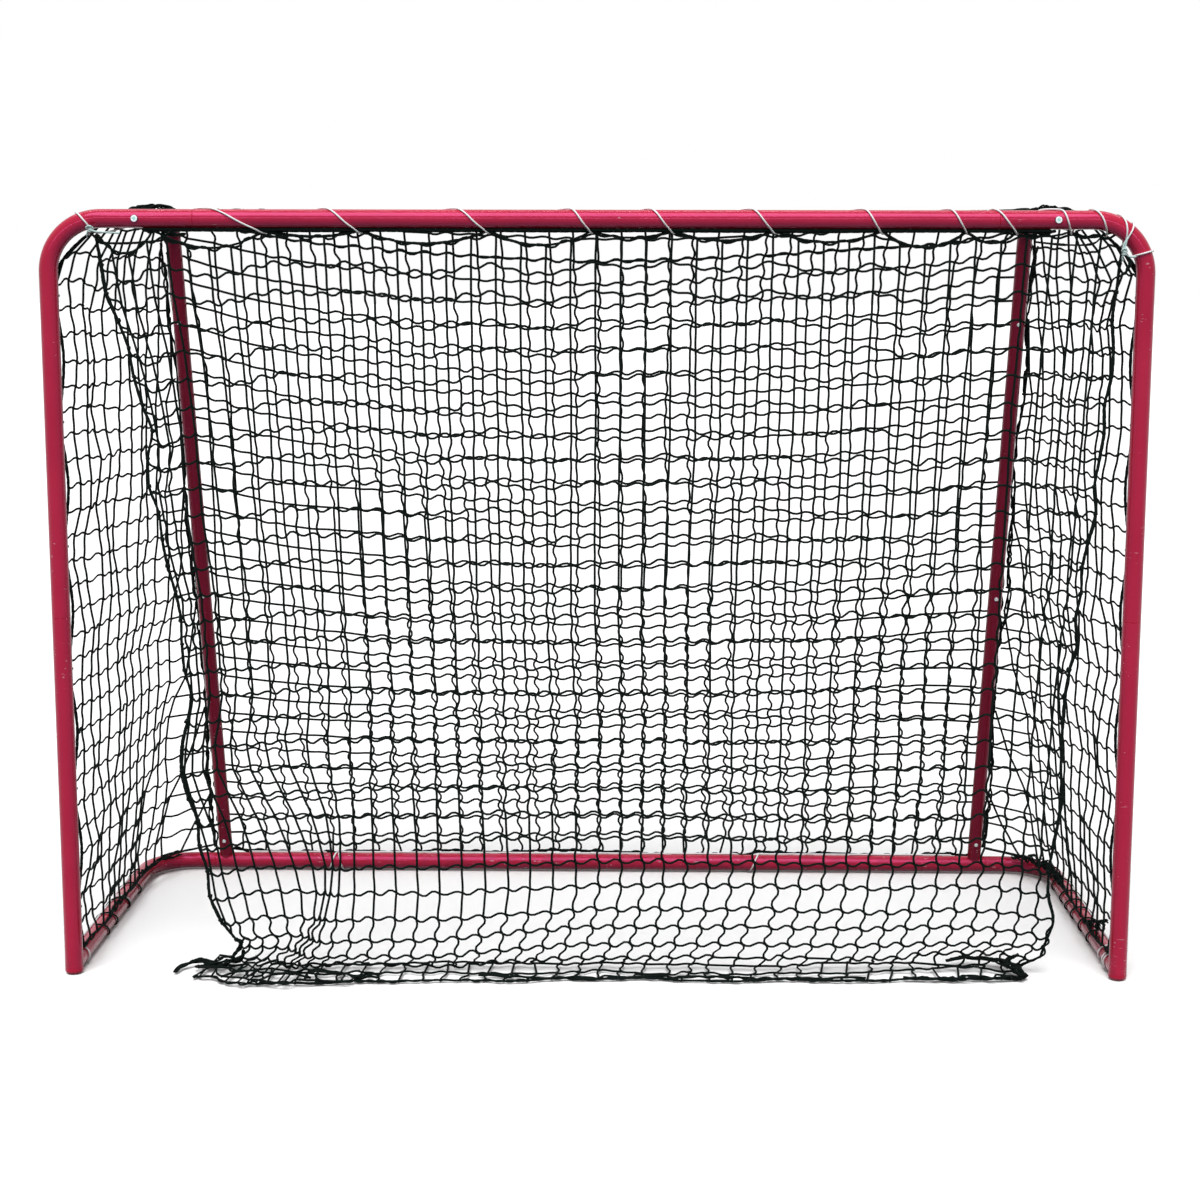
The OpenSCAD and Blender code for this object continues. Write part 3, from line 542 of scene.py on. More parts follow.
finishes = {"frame_paint": powder_coat("powder_coat"), "foot_caps": moulded_cap(), "zinc": zinc(),
            "hooks": black_plastic(), "net_twine": net_twine, "lacing": white_cord}
for row in frame["record"]["subparts"]:
    paints = frame["nodes"][row["node"]].data.materials
    paints.clear()
    # The stanchions take the copy with painted shade
    gets_painted_shade = row["node"].startswith("stanchion_") and row["material_slot"] == "frame_paint"
    paints.append(shaded_powder_coat if gets_painted_shade else finishes[row["material_slot"]])


def hand_over(shape, name, node=None, paint=net_twine, body="frame"):
    """Builds the piece, hides the CAD node it replaces, and puts the piece on the body it rides."""
    piece = shape.build(name, paint)
    if node:
        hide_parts(node)
    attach(piece, body)


# ---------- camera ----------

CAMERA_AT = (0.05117, -3.29655, 1.12474)
SENSOR_MM = 36
LENS_MM = 65.97
YAW, PITCH, ROLL = (math.radians(d) for d in (-0.75245, 9.14079, 0.10321))
ahead = np.array([math.sin(YAW) * math.cos(PITCH), math.cos(YAW) * math.cos(PITCH),
                  -math.sin(PITCH)])
level = np.array([math.cos(YAW), -math.sin(YAW), 0.0])
upright = np.cross(level, ahead)
right = math.cos(ROLL) * level + math.sin(ROLL) * upright
up = math.cos(ROLL) * upright - math.sin(ROLL) * level
pose = np.eye(4)
pose[:3] = np.stack([right, up, -ahead, in_frame(CAMERA_AT)], -1)
lens = bpy.data.cameras.new("camera")
lens.sensor_width = SENSOR_MM
lens.lens = LENS_MM
camera = placed("camera", lens)
camera.matrix_world = Matrix(pose.tolist())
bpy.context.scene.camera = camera


# ---------- the drop net ----------

# Where the white cord passes under the crossbar, and how far the drop net's head rope droops
# between those places
WRAP_X = np.array([-0.744, -0.655, -0.49, -0.348, -0.158, -0.005, 0.115, 0.265, 0.423, 0.549,
                   0.623, 0.702, 0.762, 0.79])
DROOPS = np.array([0.034, 0.026, 0.009, 0.019, 0.021, 0.01, 0.014, 0.016, 0.023, 0.017, 0.007,
                   0.008, 0.002])
HEAD_ROPE_Z = TOP_Z - TUBE_R - ROPE_R - 0.0004


def head_droop(x):
    k = np.clip(np.searchsorted(WRAP_X, x) - 1, 0, len(DROOPS) - 1)
    t = np.clip((x - WRAP_X[k]) / (WRAP_X[k + 1] - WRAP_X[k]), 0, 1)
    return DROOPS[k] * 4 * t * (1 - t)


# The drop net's columns and rows, where its columns are counted from, and how low its rows hang
DROP_LEFT_COLS = 22.5
DROP_RIGHT_COLS = 20.5
DROP_COLS = 43
DROP_MIDDLE = 0.02
DROP_HANGING = 26
DROP_LAST_HANGING_Z = 0.11
# The columns' pitch at its head and foot, how much lower than its middle its two edges hang, and
# the height down to which it hangs free
HEAD_PITCH = 0.0374
FOOT_PITCH = 0.034
LEFT_SAG = 0.02
RIGHT_SAG = 0.012
FREE_Z = 0.06
# Rows of the drop net under its hanging ones: height, then distance back from the goal line
DROP_LOW_ROWS = [(0.079, 0.002), (0.05, 0.006), (0.024, 0.02), (0.0075, 0.034), (0.0045, 0.0),
                 (0.004, -0.028)]
# The two edges of the drop net: height, then place across, in tenths of a millimetre
DROP_LEFT = metres([
    (0, -5560), (470, -5530), (1110, -5985), (1830, -6040), (3260, -6346), (4365, -6160),
    (5920, -6270), (6840, -6520), (7750, -6690), (8510, -6690), (9700, -6960), (10590, -7270),
    (11400, -7410)]).T
DROP_RIGHT = metres([
    (0, 6620), (120, 6800), (300, 6970), (750, 7080), (1750, 7070), (2860, 7150), (5970, 7270),
    (8250, 7610), (9140, 7680), (10840, 7730), (11400, 7810)]).T
# The gather at its lower left: height, how tight, its column from the edge, and columns wide
GATHER = np.array([(0.0, 0.72, 5.4, 3.2), (0.02, 0.74, 5.6, 3.0), (0.05, 0.8, 6.4, 2.6),
                   (0.09, 0.8, 7.4, 2.2), (0.175, 0.76, 8.4, 1.9), (0.26, 0.45, 8.8, 2.2),
                   (0.36, 0.0, 9.0, 2.4)]).T


def gather_at(z):
    return [float(np.interp(z, GATHER[0], row)) for row in GATHER[1:]]


BISECTIONS = 40


def half_places(count, width, pitch, ease, tight=0.0, column=0.0, wide=1.0):
    """How far a net's columns are from its middle, out to its edge. To fit the width they are
    drawn together towards the edge, over about ease columns, and also near the given column,
    counted from the edge."""
    k = np.arange(math.floor(count), -1, -1.0)
    loose = 1 - tight * np.exp(-((k - column) / wide) ** 2)
    part = np.ones(len(k))
    part[0] = count - math.floor(count)
    low, high = 0.0, 60.0
    for _ in range(BISECTIONS):
        middle = (low + high) / 2
        gaps = loose * (1 - np.minimum(0.9, middle * np.exp(-k / ease))) * part
        low, high = (middle, high) if gaps.sum() * pitch > width else (low, middle)
    places = np.cumsum(gaps)
    return places / places[-1] * width


def drop_net_knots(rng):
    head = HEAD_ROPE_Z - 0.002
    fall = running(np.linspace(1.05, 0.95, DROP_HANGING))
    heights = head - (head - DROP_LAST_HANGING_Z) * fall / fall[-1]
    rows = [(z, 0.0) for z in heights] + DROP_LOW_ROWS
    count = len(rows)
    knots = np.zeros((DROP_COLS + 1, count, 3))
    for j, (z, y) in enumerate(rows):
        sag = min(1.3 * j / count, 1.0) * (z > FREE_Z)
        pitch = HEAD_PITCH + (FOOT_PITCH - HEAD_PITCH) * j / count
        ease = float(np.interp(z, [0.18, 0.45], [2.2, 5.0]))
        left = DROP_MIDDLE - np.interp(z - LEFT_SAG * sag, *DROP_LEFT)
        right = np.interp(z - RIGHT_SAG * sag, *DROP_RIGHT) - DROP_MIDDLE
        leftward = half_places(DROP_LEFT_COLS, left, pitch, ease, *gather_at(z))
        rightward = half_places(DROP_RIGHT_COLS, right, pitch, 1.2)
        across = np.concatenate([DROP_MIDDLE - leftward[::-1], DROP_MIDDLE + rightward])
        knots[:, j] = xyz(across, y, z)
    down = np.arange(count) / count
    droop = head_droop(knots[:, 0, 0])
    fade = np.maximum(0, 1 - 2.2 * down) * 0.8 + 0.2
    knots[:, :, 2] -= droop[:, None] * fade * (knots[..., 2] > 0.1)
    for edge in (0, -1):
        knots[edge, 2:-6, 0] += rng.uniform(-0.005, 0.005, count - 8)
    # Its edges hang lower than its middle
    from_left = knots[..., 0] - knots[:1, :, 0]
    from_right = knots[-1:, :, 0] - knots[..., 0]
    steep = np.clip(down * 1.3, 0, 1) * (knots[..., 2] > FREE_Z)
    knots[..., 2] -= steep * (LEFT_SAG * np.exp(-from_left / 0.075)
                              + RIGHT_SAG * np.exp(-from_right / 0.06))
    # Each axis: how far the knots stray, over how many bumps across and down, and how far finely
    for axis, wide, bumps, fine in ((0, 0.0055, (8, 5), 0.0014), (1, 0.012, (7, 3), 0),
                                    (2, 0.0035, (9, 6), 0.0013)):
        stray = wide * ripple(knots.shape[:2], bumps, rng)
        if fine:
            stray += fine * ripple(knots.shape[:2], (34, 28), rng)
        knots[..., axis] += stray * hump(down) ** 0.5
    return knots


def lay_foot(knots, rng):
    """Drags the foot of the net to the left and lays its two lower corners on the floor."""
    columns, rows = knots.shape[:2]
    share = np.linspace(0, 1, columns)
    column = np.arange(columns)
    for k in range(7):
        knots[:, rows - 7 + k, 0] -= 0.005 * (k + 1) * hump(share * 1.04) ** 0.5
    lower_left = np.clip((-0.02 - knots[:, rows - 5, 0]) / 0.24, 0, 1)
    for j in range(rows - 10, rows - 3):
        past_gather = np.clip((column - gather_at(knots[20, j, 2])[1] + 1.5) / 4, 0, 1)
        fall = np.clip((j - rows + 11) / 4, 0, 1.25) * (0.004 + 0.014 * past_gather)
        knots[:, j, 2] = np.maximum(knots[:, j, 2] - fall * lower_left, 0.006)
    tail = np.clip((10 - column) / 10, 0, 1)
    corner = np.clip((column - 35) / 6, 0, 1)
    border_y = np.interp(knots[:, -1, 0], [-0.6, -0.52, -0.44, -0.38, -0.26, 0.0, 0.45, 0.66],
                         [0.01, -0.06, -0.068, -0.05, -0.036, -0.03, -0.026, -0.014])
    # How far to the left each of the last rows reaches, and how far it strays back and forth
    lying = ((0.01, 0.006), (0.035, 0.012), (0.055, 0.016), (0.06, 0.006))
    for k, (reach, spread) in enumerate(lying):
        j = rows - 4 + k
        wobble = wander(columns, 22, rng)
        knots[:, j, 0] -= reach * tail ** 1.2
        knots[:, j, 0] += 0.006 * wander(columns, 26, rng)
        if k > 1:
            knots[:, j, 1] = border_y + (0.032 - 0.01 * tail) * (3 - k)
        knots[:, j, 1] += (spread * (0.5 + tail + 0.6 * corner) + 0.006) * wobble
        knots[:, j, 2] += 0.008 * np.abs(wobble) * (0.2 + tail + corner)
    low = knots[..., 2] < 0.04
    knots[..., 1] = np.where(low, np.clip(knots[..., 1], -0.07, 0.06), knots[..., 1])
    return knots


def grid_bars(shape, knots, rest_across, rest_down, rng, lie=("across", "down"), deepest=0.02,
              first=0, radius=TWINE_R):
    """Twine both ways along a grid of knots, and the knots. first is the first row drawn across,
    and rest_across may give each row its own length."""
    drawn = knots[:, first:]
    rest = np.broadcast_to(rest_across, drawn[1:].shape[:2]).ravel()
    bars(shape, drawn[:-1], drawn[1:], rest, rng, lie[0], deepest, radius)
    bars(shape, knots[:, :-1], knots[:, 1:], rest_down, rng, lie[1], deepest, radius)
    shape.lumps(drawn, radius * 1.5, rng)


rng = np.random.default_rng(11)
drop = lay_foot(drop_net_knots(rng), rng)
free = np.ones(drop.shape[:2])
free[:, 0] = 0
free[0] = free[-1] = 0.35
drop = settle(drop, free)

# The drop net above the floor, its edge ropes, and the rows that lie on the floor
LOW_ROW = DROP_HANGING + 3
DROP_HEAD_R = 0.0022
DROP_LEFT_R = 0.0027
DROP_RIGHT_R = 0.0026
DROP_FOOT_R = 0.0024
HANGING_DOWN = 0.0396
LYING_DOWN = 0.04
hanging = Shape()
above = drop[:, :LOW_ROW + 1]
grid_bars(hanging, above, MESH_ACROSS, HANGING_DOWN, rng, deepest=0.006)
head_x = np.linspace(drop[0, 0, 0], drop[-1, 0, 0], 320)
head_line = xyz(head_x, 0.0015 * np.sin(head_x * 90), HEAD_ROPE_Z - head_droop(head_x))
rope(hanging, head_line[::2], DROP_HEAD_R, 0.0045, 0.25, rng)
rope(hanging, above[0] + [-0.001, 0.001, 0], DROP_LEFT_R, 0.005, LUMPY, rng)
rope(hanging, above[-1] + [0.001, 0, 0], DROP_RIGHT_R, 0.005, LUMPY, rng)
hanging.lumps(drop[[0, -1], :LOW_ROW], 0.0046, rng)
drop_piece = hanging.build("drop_netting", net_twine)
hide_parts("drop_net")
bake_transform(drop_piece)

# Netting bunched on the floor: heap()'s keys in tenths of a millimetre
FLOOR_HEAP = [
    (-6180, 220, 40, 60), (-5900, 0, 50, 240), (-5450, -240, 50, 300), (-5000, -340, 50, 300),
    (-4500, -400, 50, 280), (-4000, -300, 40, 200), (-3400, -240, 40, 120)]
# Tangled twine on the floor: the tail and clump under the left edge, strands along the border, and
# the heap at the right. Strands, turns in a metre, curl, and tangle()'s keys in those tenths
FLOOR_TANGLES = [
    (5, 26, 0.3, [(-6550, -70, 50, 24), (-6500, 80, 70, 36), (-6400, 240, 90, 50),
        (-6220, 300, 110, 70), (-6000, 200, 110, 80)]),
    (3, 26, 0.5, [(-6060, 120, 80, 60), (-5780, 160, 120, 100), (-5560, 220, 180, 90),
        (-5500, 140, 340, 40)]),
    (2, 12, 0.3, [(-1800, -140, 50, 30), (-500, -260, 50, 60), (1100, -180, 50, 60),
        (2600, -260, 60, 60), (4200, -200, 60, 50)]),
    (7, 30, 0.3, [(5560, 540, 100, 30), (5800, 600, 130, 45), (6180, 560, 130, 55),
        (6400, 340, 150, 85), (6550, 40, 160, 120), (6630, -200, 100, 70)]),
    (4, 24, 0.6, [(6400, 180, 140, 60), (6520, 220, 260, 70), (6620, 160, 340, 40)]),
    (3, 20, 0.5, [(4800, -200, 60, 40), (5400, -220, 70, 70), (6000, -200, 80, 90),
        (6450, -180, 80, 100), (6640, -200, 80, 40)])]

foot = Shape()
lying = drop[:, LOW_ROW:]
grid_bars(foot, lying, MESH_ACROSS, LYING_DOWN, rng, ("floor", "floor"), 0.008, 1)
rope(foot, lying[:, -1], SEAM_R, lumpy=LUMPY, rng=rng)
rope(foot, lying[-1], DROP_FOOT_R, lumpy=0.35, rng=rng)
heap(foot, metres(FLOOR_HEAP), 3, rng)
for strands, turns, curl, keys in FLOOR_TANGLES:
    tangle(foot, metres(keys), strands, rng, turns, flat=0.45, curl=curl)
hand_over(foot, "drop_netting_foot", "drop_net_bundle", body="drop_net")


# ---------- the main net ----------

def from_stanchion(x, back, up_it):
    """A point given in the stanchion's own frame: back out of it and up along it."""
    return xyz(x, BASE_DEPTH - up_it * math.sin(LEAN) + back * math.cos(LEAN),
               RAIL_Z + up_it * math.cos(LEAN) + back * math.sin(LEAN))


BACK_EDGE_X = 0.694
BACK_PLANE = 0.0203
BACK_FOOT_UP = 0.0225
ARM_WRAP_R = ARM_BEND_R + ARM_R + ROPE_R + 0.0003
HEAD_TURN = math.radians(45)
BACK_COLS = 36
BACK_ROWS = 31
TOP_ROWS = 7
TOP_FRONT_Y = 0.02
BACK_DOWN = 0.0392
TOP_ACROSS = 0.0395
# How much higher or lower on its surface the main net lies, from its left edge to its right
SLIP_X = [-0.694, -0.64, -0.58, -0.48, -0.31, -0.14, -0.02, 0.2, 0.37, 0.54, 0.694]
SLIP = [0.018, 0.004, -0.01, -0.028, -0.046, -0.0525, -0.055, -0.051, -0.043, -0.033, -0.019]


def main_outline():
    """The main net from the side: up behind the stanchions, round the arms' bends and forward.
    Returns how far along its (y, z) points are, the points, and how far along the top begins."""
    centre = np.array([TOP_DEPTH - ARM_TANGENT, TOP_Z - ARM_BEND_R])
    straight = from_stanchion(0.0, BACK_PLANE, np.linspace(BACK_FOOT_UP, STRAIGHT_LEN, 60))[:, 1:]
    turns = np.linspace(LEAN, math.pi / 2, 30)[1:]
    bend = centre + ARM_WRAP_R * np.stack([np.cos(turns), np.sin(turns)], -1)
    front = np.array([[TOP_FRONT_Y, bend[-1, 1] + 0.001]])
    line = np.concatenate([straight, bend, front])
    length = distances(line)
    split = len(straight) + int(len(bend) * (HEAD_TURN - LEAN) / (math.pi / 2 - LEAN))
    return length, line, length[split]


rng = np.random.default_rng(23)
outline_at, outline, back_length = main_outline()
row_size = np.interp(np.arange(BACK_ROWS) + 0.5, [0, 5, 12, 18, 31], [0.79, 0.88, 0.97, 1.0, 1.0])
row_at = running(row_size) / row_size.sum() * back_length
top_at = np.linspace(back_length, outline_at[-1], TOP_ROWS + 1)[1:]
row_at = np.concatenate([row_at, top_at])
held = eased(np.clip(row_at / (0.5 * back_length), 0, 1))
held *= np.clip((outline_at[-1] - row_at) / (outline_at[-1] - back_length), 0, 1)

across = np.linspace(-BACK_EDGE_X, BACK_EDGE_X, BACK_COLS + 1)
belly = 1 - (across / BACK_EDGE_X) ** 2
at = row_at[None] + np.interp(across, SLIP_X, SLIP)[:, None] * held[None]
main = xyz(across[:, None], *(np.interp(at, outline_at, axis) for axis in outline.T))
lower = np.clip(1 - row_at / back_length, 0, 1)
to_edge = 1 - np.abs(across) / BACK_EDGE_X
drawn_in = np.where(across < 0, 0.02, -0.012) * hump(to_edge * 1.15)
main[..., 0] += drawn_in[:, None] * (lower ** 0.6)[None]
share = np.minimum(row_at / back_length, 1.0)
main[..., 1] -= belly[:, None] * hump(share)[None] * 0.014
main[..., 2] -= belly[:, None] * share[None] ** 4 * 0.016
inside = np.ones(main.shape[:2])
inside[0] = inside[-1] = inside[:, 0] = 0.2
corner_mess = 1 + 1.6 * np.exp(-(BACK_EDGE_X - np.abs(across)) / 0.12)
for axis, coarse, fine in ((0, 0.005, 0.0014), (1, 0.005, 0.0), (2, 0.004, 0.0012)):
    main[..., axis] += (coarse * ripple(main.shape[:2], (9, 8), rng) * corner_mess[:, None]
                        + fine * ripple(main.shape[:2], (30, 32), rng)) * inside
back = main[:, :BACK_ROWS + 1]
top = main[:, BACK_ROWS:].copy()

back[:, 0] += xyz(0.006 * wander(len(back), 26, rng), 0.003 * wander(len(back), 26, rng),
                  0.005 * wander(len(back), 22, rng) - 0.013)
back[:, 1, 2] -= 0.008
back[:, 2, 2] -= 0.003
back_shape = Shape()
row_slack = np.interp(np.arange(BACK_ROWS + 1), [0, 4, 10], [0.0445, 0.0425, 0.0408])
grid_bars(back_shape, back, row_slack, BACK_DOWN, rng, radius=BACK_TWINE_R)
rope(back_shape, back[:, 0], SEAM_R, lumpy=LUMPY, rng=rng)
hand_over(back_shape, "back_netting", "net_back")

# The top's front edge climbs over each arm and lies low behind the crossbar between them
over_arm = np.exp(-((np.abs(across) - STANCHION_X) / 0.03) ** 2)
front_drop = (1 - over_arm) * 0.02
top[:, -1] = xyz(across * 1.004, TOP_FRONT_Y, top[:, -1, 2])
top[:, -1, 2] += belly * 0.016 - front_drop
top[:, -2, 2] -= front_drop * 0.35
top_shape = Shape()
grid_bars(top_shape, top, TOP_ACROSS, BACK_DOWN, rng, deepest=0.008, radius=BACK_TWINE_R)
for seam in (top[:, -1], top[0], top[-1]):
    rope(top_shape, seam, SEAM_R)
hand_over(top_shape, "top_netting", "net_top")

HOOK_ROPE_X = 0.8087
HOOK_ROPE_Y = 0.0196
SIDE_EDGE_X = 0.7003
SIDE_PLANE = 0.0173
SIDE_ROWS = 29
SIDE_PITCH = 0.039
SIDE_FOOT_Z = 0.0367
SIDE_HEAD_Z = 1.1435
FAR_BACK = 9.0
# How far a side net's top rows are drawn up behind the crossbar, from its head down
HEAD_LIFT = (0.014, 0.006)
# The foot of a side net over the rail: distance back, place across and height
FOOT_KEYS = np.array([
    (HOOK_ROPE_Y, HOOK_ROPE_X, SIDE_FOOT_Z), (0.164, 0.8037, 0.0347), (0.304, 0.8037, 0.0347),
    (0.433, 0.8037, 0.0347), (0.5544, 0.7833, 0.0347), (0.5953, 0.7003, 0.0434)])


def side_front(z):
    """The right side net's front edge: up behind the post, bulging in between the hooks, and in
    over the bend."""
    z = np.asarray(z, float)
    bulge = 0.008 * np.sin(np.pi * (z - HOOK_FIRST_Z) / HOOK_PITCH) ** 2
    turn = np.clip((z - (TOP_Z - BEND_R)) / 0.0595, 0, 1)
    return xyz(HOOK_ROPE_X - bulge * (1 - turn) - 0.0547 * turn ** 1.6, HOOK_ROPE_Y, z)


def side_net(side, rng):
    """One side net: columns parallel to the post that end on the sloping rear rope."""
    shape = Shape()
    foot_y, foot_x, foot_z = FOOT_KEYS.T

    def surface(y, v):
        """The point y back on the net, or on its rear rope, at share v of its height."""
        front = side_front(SIDE_FOOT_Z + v * (SIDE_HEAD_Z - SIDE_FOOT_Z))
        back_edge = from_stanchion(SIDE_EDGE_X, SIDE_PLANE,
                                   BACK_FOOT_UP + v * (STRAIGHT_LEN - BACK_FOOT_UP))
        u = np.clip((y - front[..., 1]) / (back_edge[..., 1] - front[..., 1]), 0, 1)[..., None]
        point = front + (back_edge - front) * u
        flat_foot = FOOT_KEYS[0] * (1 - u) + FOOT_KEYS[-1] * u
        at = flat_foot[..., 0]
        pull = (1 - v) ** 2
        point[..., 0] += (np.interp(at, foot_y, foot_x) - flat_foot[..., 1]) * pull
        point[..., 2] += (np.interp(at, foot_y, foot_z) - flat_foot[..., 2]) * pull
        return point

    rows = np.linspace(0, 1, SIDE_ROWS + 1)
    rows[1:-1] += 0.4 * (side > 0) / SIDE_ROWS
    rear = surface(np.full(rows.shape, FAR_BACK), rows)
    rear_y = rear[:, 1]
    columns = int((rear_y[0] - HOOK_ROPE_Y) / SIDE_PITCH) + 1

    def column_at(c, v):
        """How far back column c is at height v: the columns draw together towards the top."""
        return HOOK_ROPE_Y + SIDE_PITCH * c * (1 - 0.3 * v ** 2)

    grid = (columns + 1, SIDE_ROWS + 1)
    bumps = np.array([size * ripple(grid, (9, 16), rng) for size in (0.007, 0.005, 0.0045)])
    c, r = np.indices(grid)
    kept = column_at(c, rows[r]) < rear_y[r] - 0.008
    where = np.full(grid, -1)
    where[kept] = np.arange(kept.sum())
    c, r = c[kept], r[kept]
    loose = ((c > 0) & (r > 0)) * (1 + 1.2 * rows[r] ** 3)
    knots = surface(column_at(c, rows[r]), rows[r]) + (loose * bumps[:, c, r]).T
    for from_head, lift in enumerate(HEAD_LIFT):
        knots[:, 2] += lift * ((c > 0) & (r == SIDE_ROWS - from_head))
    # Twine from the last knot of each row and each column to the rear rope
    ends = list(zip(knots[where.max(axis=0)], rear))
    for c in range(1, columns + 1):
        if where[c, -1] < 0 <= where[c].max():
            v = np.interp(0.0, column_at(c, rows) - rear_y, rows)
            ends.append((knots[where[c].max()], surface(column_at(c, v), v)))
    flip = np.array([side, 1, 1])
    for a, b, slack, lie in ((where[:-1], where[1:], 0.06, "across"),
                             (where[:, :-1], where[:, 1:], 0.03, "side")):
        both = (a >= 0) & (b >= 0)
        a, b = knots[a[both]] * flip, knots[b[both]] * flip
        slack = slack * np.interp((a[:, 2] + b[:, 2]) / 2, [1.09, 1.13], [1, 0])
        bars(shape, a, b, np.linalg.norm(b - a, axis=1) * (1 + slack), rng, lie)
    ends = np.array(ends) * flip
    bars(shape, ends[:, 0], ends[:, 1], 0.0, rng, ring_count=4)
    shape.lumps(knots * flip, TWINE_R * 1.6, rng)
    front_line = side_front(np.linspace(SIDE_FOOT_Z, SIDE_HEAD_Z, 70))
    rope(shape, front_line * flip, ROPE_R)
    foot_line = surface(np.linspace(HOOK_ROPE_Y, rear_y[0], 24), np.zeros(24))
    foot_line += 0.004 * xyz(*(wander(24, 11, rng) for _ in range(3)))
    rope(shape, foot_line * flip, SIDE_SEAM_R, lumpy=LUMPY, rng=rng)
    sway = 0.006 * xyz(*(wander(len(rear), 9, rng) for _ in range(3)))
    loops = np.interp(rows, [0, 0.25, 0.5, 0.8, 1], [0.006, 0.003, 0.005, 0.003, 0.005])
    rear_line = (rear + sway + [0.002, 0.003, 0]) * flip
    tangle(shape, np.concatenate([rear_line, loops[:, None]], axis=1), 3, rng, 6)
    head_line = np.array([side_front(SIDE_HEAD_Z), surface(0.07, 1.0) + [0.004, 0, -0.012],
                          surface(0.15, 1.0) + [-0.004, 0, -0.01], rear[-1]])
    rope(shape, head_line * flip, SIDE_SEAM_R, lumpy=LUMPY, rng=rng)
    return shape


for side, name in ((-1, "left"), (1, "right")):
    shape = side_net(side, np.random.default_rng(31 + side))
    hand_over(shape, "side_netting_" + name, "net_side_" + name)


# ---------- white cords ----------

# The crossbar cord's half turns between its ends: share of the straight half length
LACE_HALF_TURNS = [-0.786, -0.668, -0.546, -0.474, -0.282, -0.215, -0.052, -0.007, 0.109, 0.157,
                   0.312, 0.361, 0.538, 0.576, 0.71, 0.748]
# All of the crossbar cord: that share, share of the bend radius past it, degrees from the top
LACE_KEYS = [
    (-1, -0.325, -180), (-1, -0.275, -180), (-1, -0.4, 0), (-1, -0.125, 180), (-1, 0.15, 190),
    *((share, 0, 360 + 180 * k) for k, share in enumerate(LACE_HALF_TURNS)),
    (1, -1.85, 3240), (1, -1.387, 3420), (1, -0.95, 3588), (1, -0.6, 3612), (1, -0.4, 3780),
    (1, -0.037, 3960), (1, 0.35, 4140), (1, 0.39, 4320), (1, 0.86, 4500), (1, 0.64, 4680),
    (1, 0.78, 4860), (1, 1.2, 5040), (1, 1.12, 5220), (1, 0.97, 5220)]
# The rail cords: share of the base's depth or of the stanchions' X, and degrees from the top
LEFT_RAIL_KEYS = [
    (0.0479, -30), (0.0564, -30), (0.0684, 150), (0.1094, 330), (0.5128, 330), (0.5675, 510),
    (0.5983, 690), (0.735, 690), (0.7453, 690)]
RIGHT_RAIL_KEYS = [
    (0.041, -30), (0.0496, -30), (0.0564, 150), (0.0667, 330), (0.0752, 510), (0.1128, 690),
    (0.1265, 870), (0.1641, 1050), (0.735, 1050), (0.7453, 1050)]
BACK_RAIL_KEYS = [
    (-0.9412, 20), (-0.9324, 20), (-0.736, 20), (-0.727, 180), (-0.704, 360), (-0.683, 540),
    (-0.7, 715), (-0.6912, 740), (0.3676, 740), (0.4, 920), (0.4294, 1100), (0.9324, 1100),
    (0.9412, 1100)]
WIND_R = TUBE_R + CORD_R + 0.0002
# How much lower the cord passes under the crossbar, below the ropes it holds there
UNDER_BAR_SLACK = 0.0052
# How many times over a winding's turns are eased
EASINGS = 6


def wound(keys, step=8.0):
    """Fine (place, degrees) points along a winding, with its turns eased."""
    points = []
    for (s0, a0), (s1, a1) in zip(keys, keys[1:]):
        n = max(2, int(abs(a1 - a0) / step), int(abs(s1 - s0) / 0.004))
        t = np.arange(n) / n
        points.append(np.stack([s0 + (s1 - s0) * t, a0 + (a1 - a0) * t], -1))
    points = np.concatenate(points + [np.array([keys[-1]])])
    for _ in range(EASINGS):
        points[1:-1] = (points[:-2] + 2 * points[1:-1] + points[2:]) / 4
    return points


def bar_point(s):
    """Centre and upward direction of the crossbar and its bends, s metres from the middle."""
    turn = np.sign(s) * np.maximum(0, np.abs(s) - ELBOW_X) / BEND_R
    upward = xyz(np.sin(turn), 0.0, np.cos(turn))
    start = xyz(np.sign(s) * np.minimum(np.abs(s), ELBOW_X), 0.0, TOP_Z - BEND_R)
    return start + upward * BEND_R, upward


def round_it(upward, sideways, degrees):
    """Directions that many degrees round from upward towards sideways."""
    angle = np.radians(degrees)[:, None]
    return np.asarray(upward) * np.cos(angle) + np.array(sideways, float) * np.sin(angle)


CORD_RIDGES = np.array([1.0, 0.88] * 4)
BRAID_TURNS_PER_M = 90.0


def white_line(shape, line):
    """Round braided cord along a line of points."""
    line = even_line(np.asarray(line, float), 0.0012)
    thick = np.full(len(line), CORD_R)
    thick[[0, -1]] *= 0.6
    shape.tubes(line, thick, 8, CORD_RIDGES, BRAID_TURNS_PER_M)


def crossbar_cord():
    keys = [(k[0] * ELBOW_X + k[1] * BEND_R, k[2]) for k in LACE_KEYS]
    points = wound(keys)
    centre, upward = bar_point(points[:, 0])
    under = np.maximum(0, -np.cos(np.radians(points[:, 1]))) ** 12
    reach = WIND_R + UNDER_BAR_SLACK * under
    shape = Shape()
    white_line(shape, centre + round_it(upward, (0, -1, 0), points[:, 1]) * reach[:, None])
    return shape


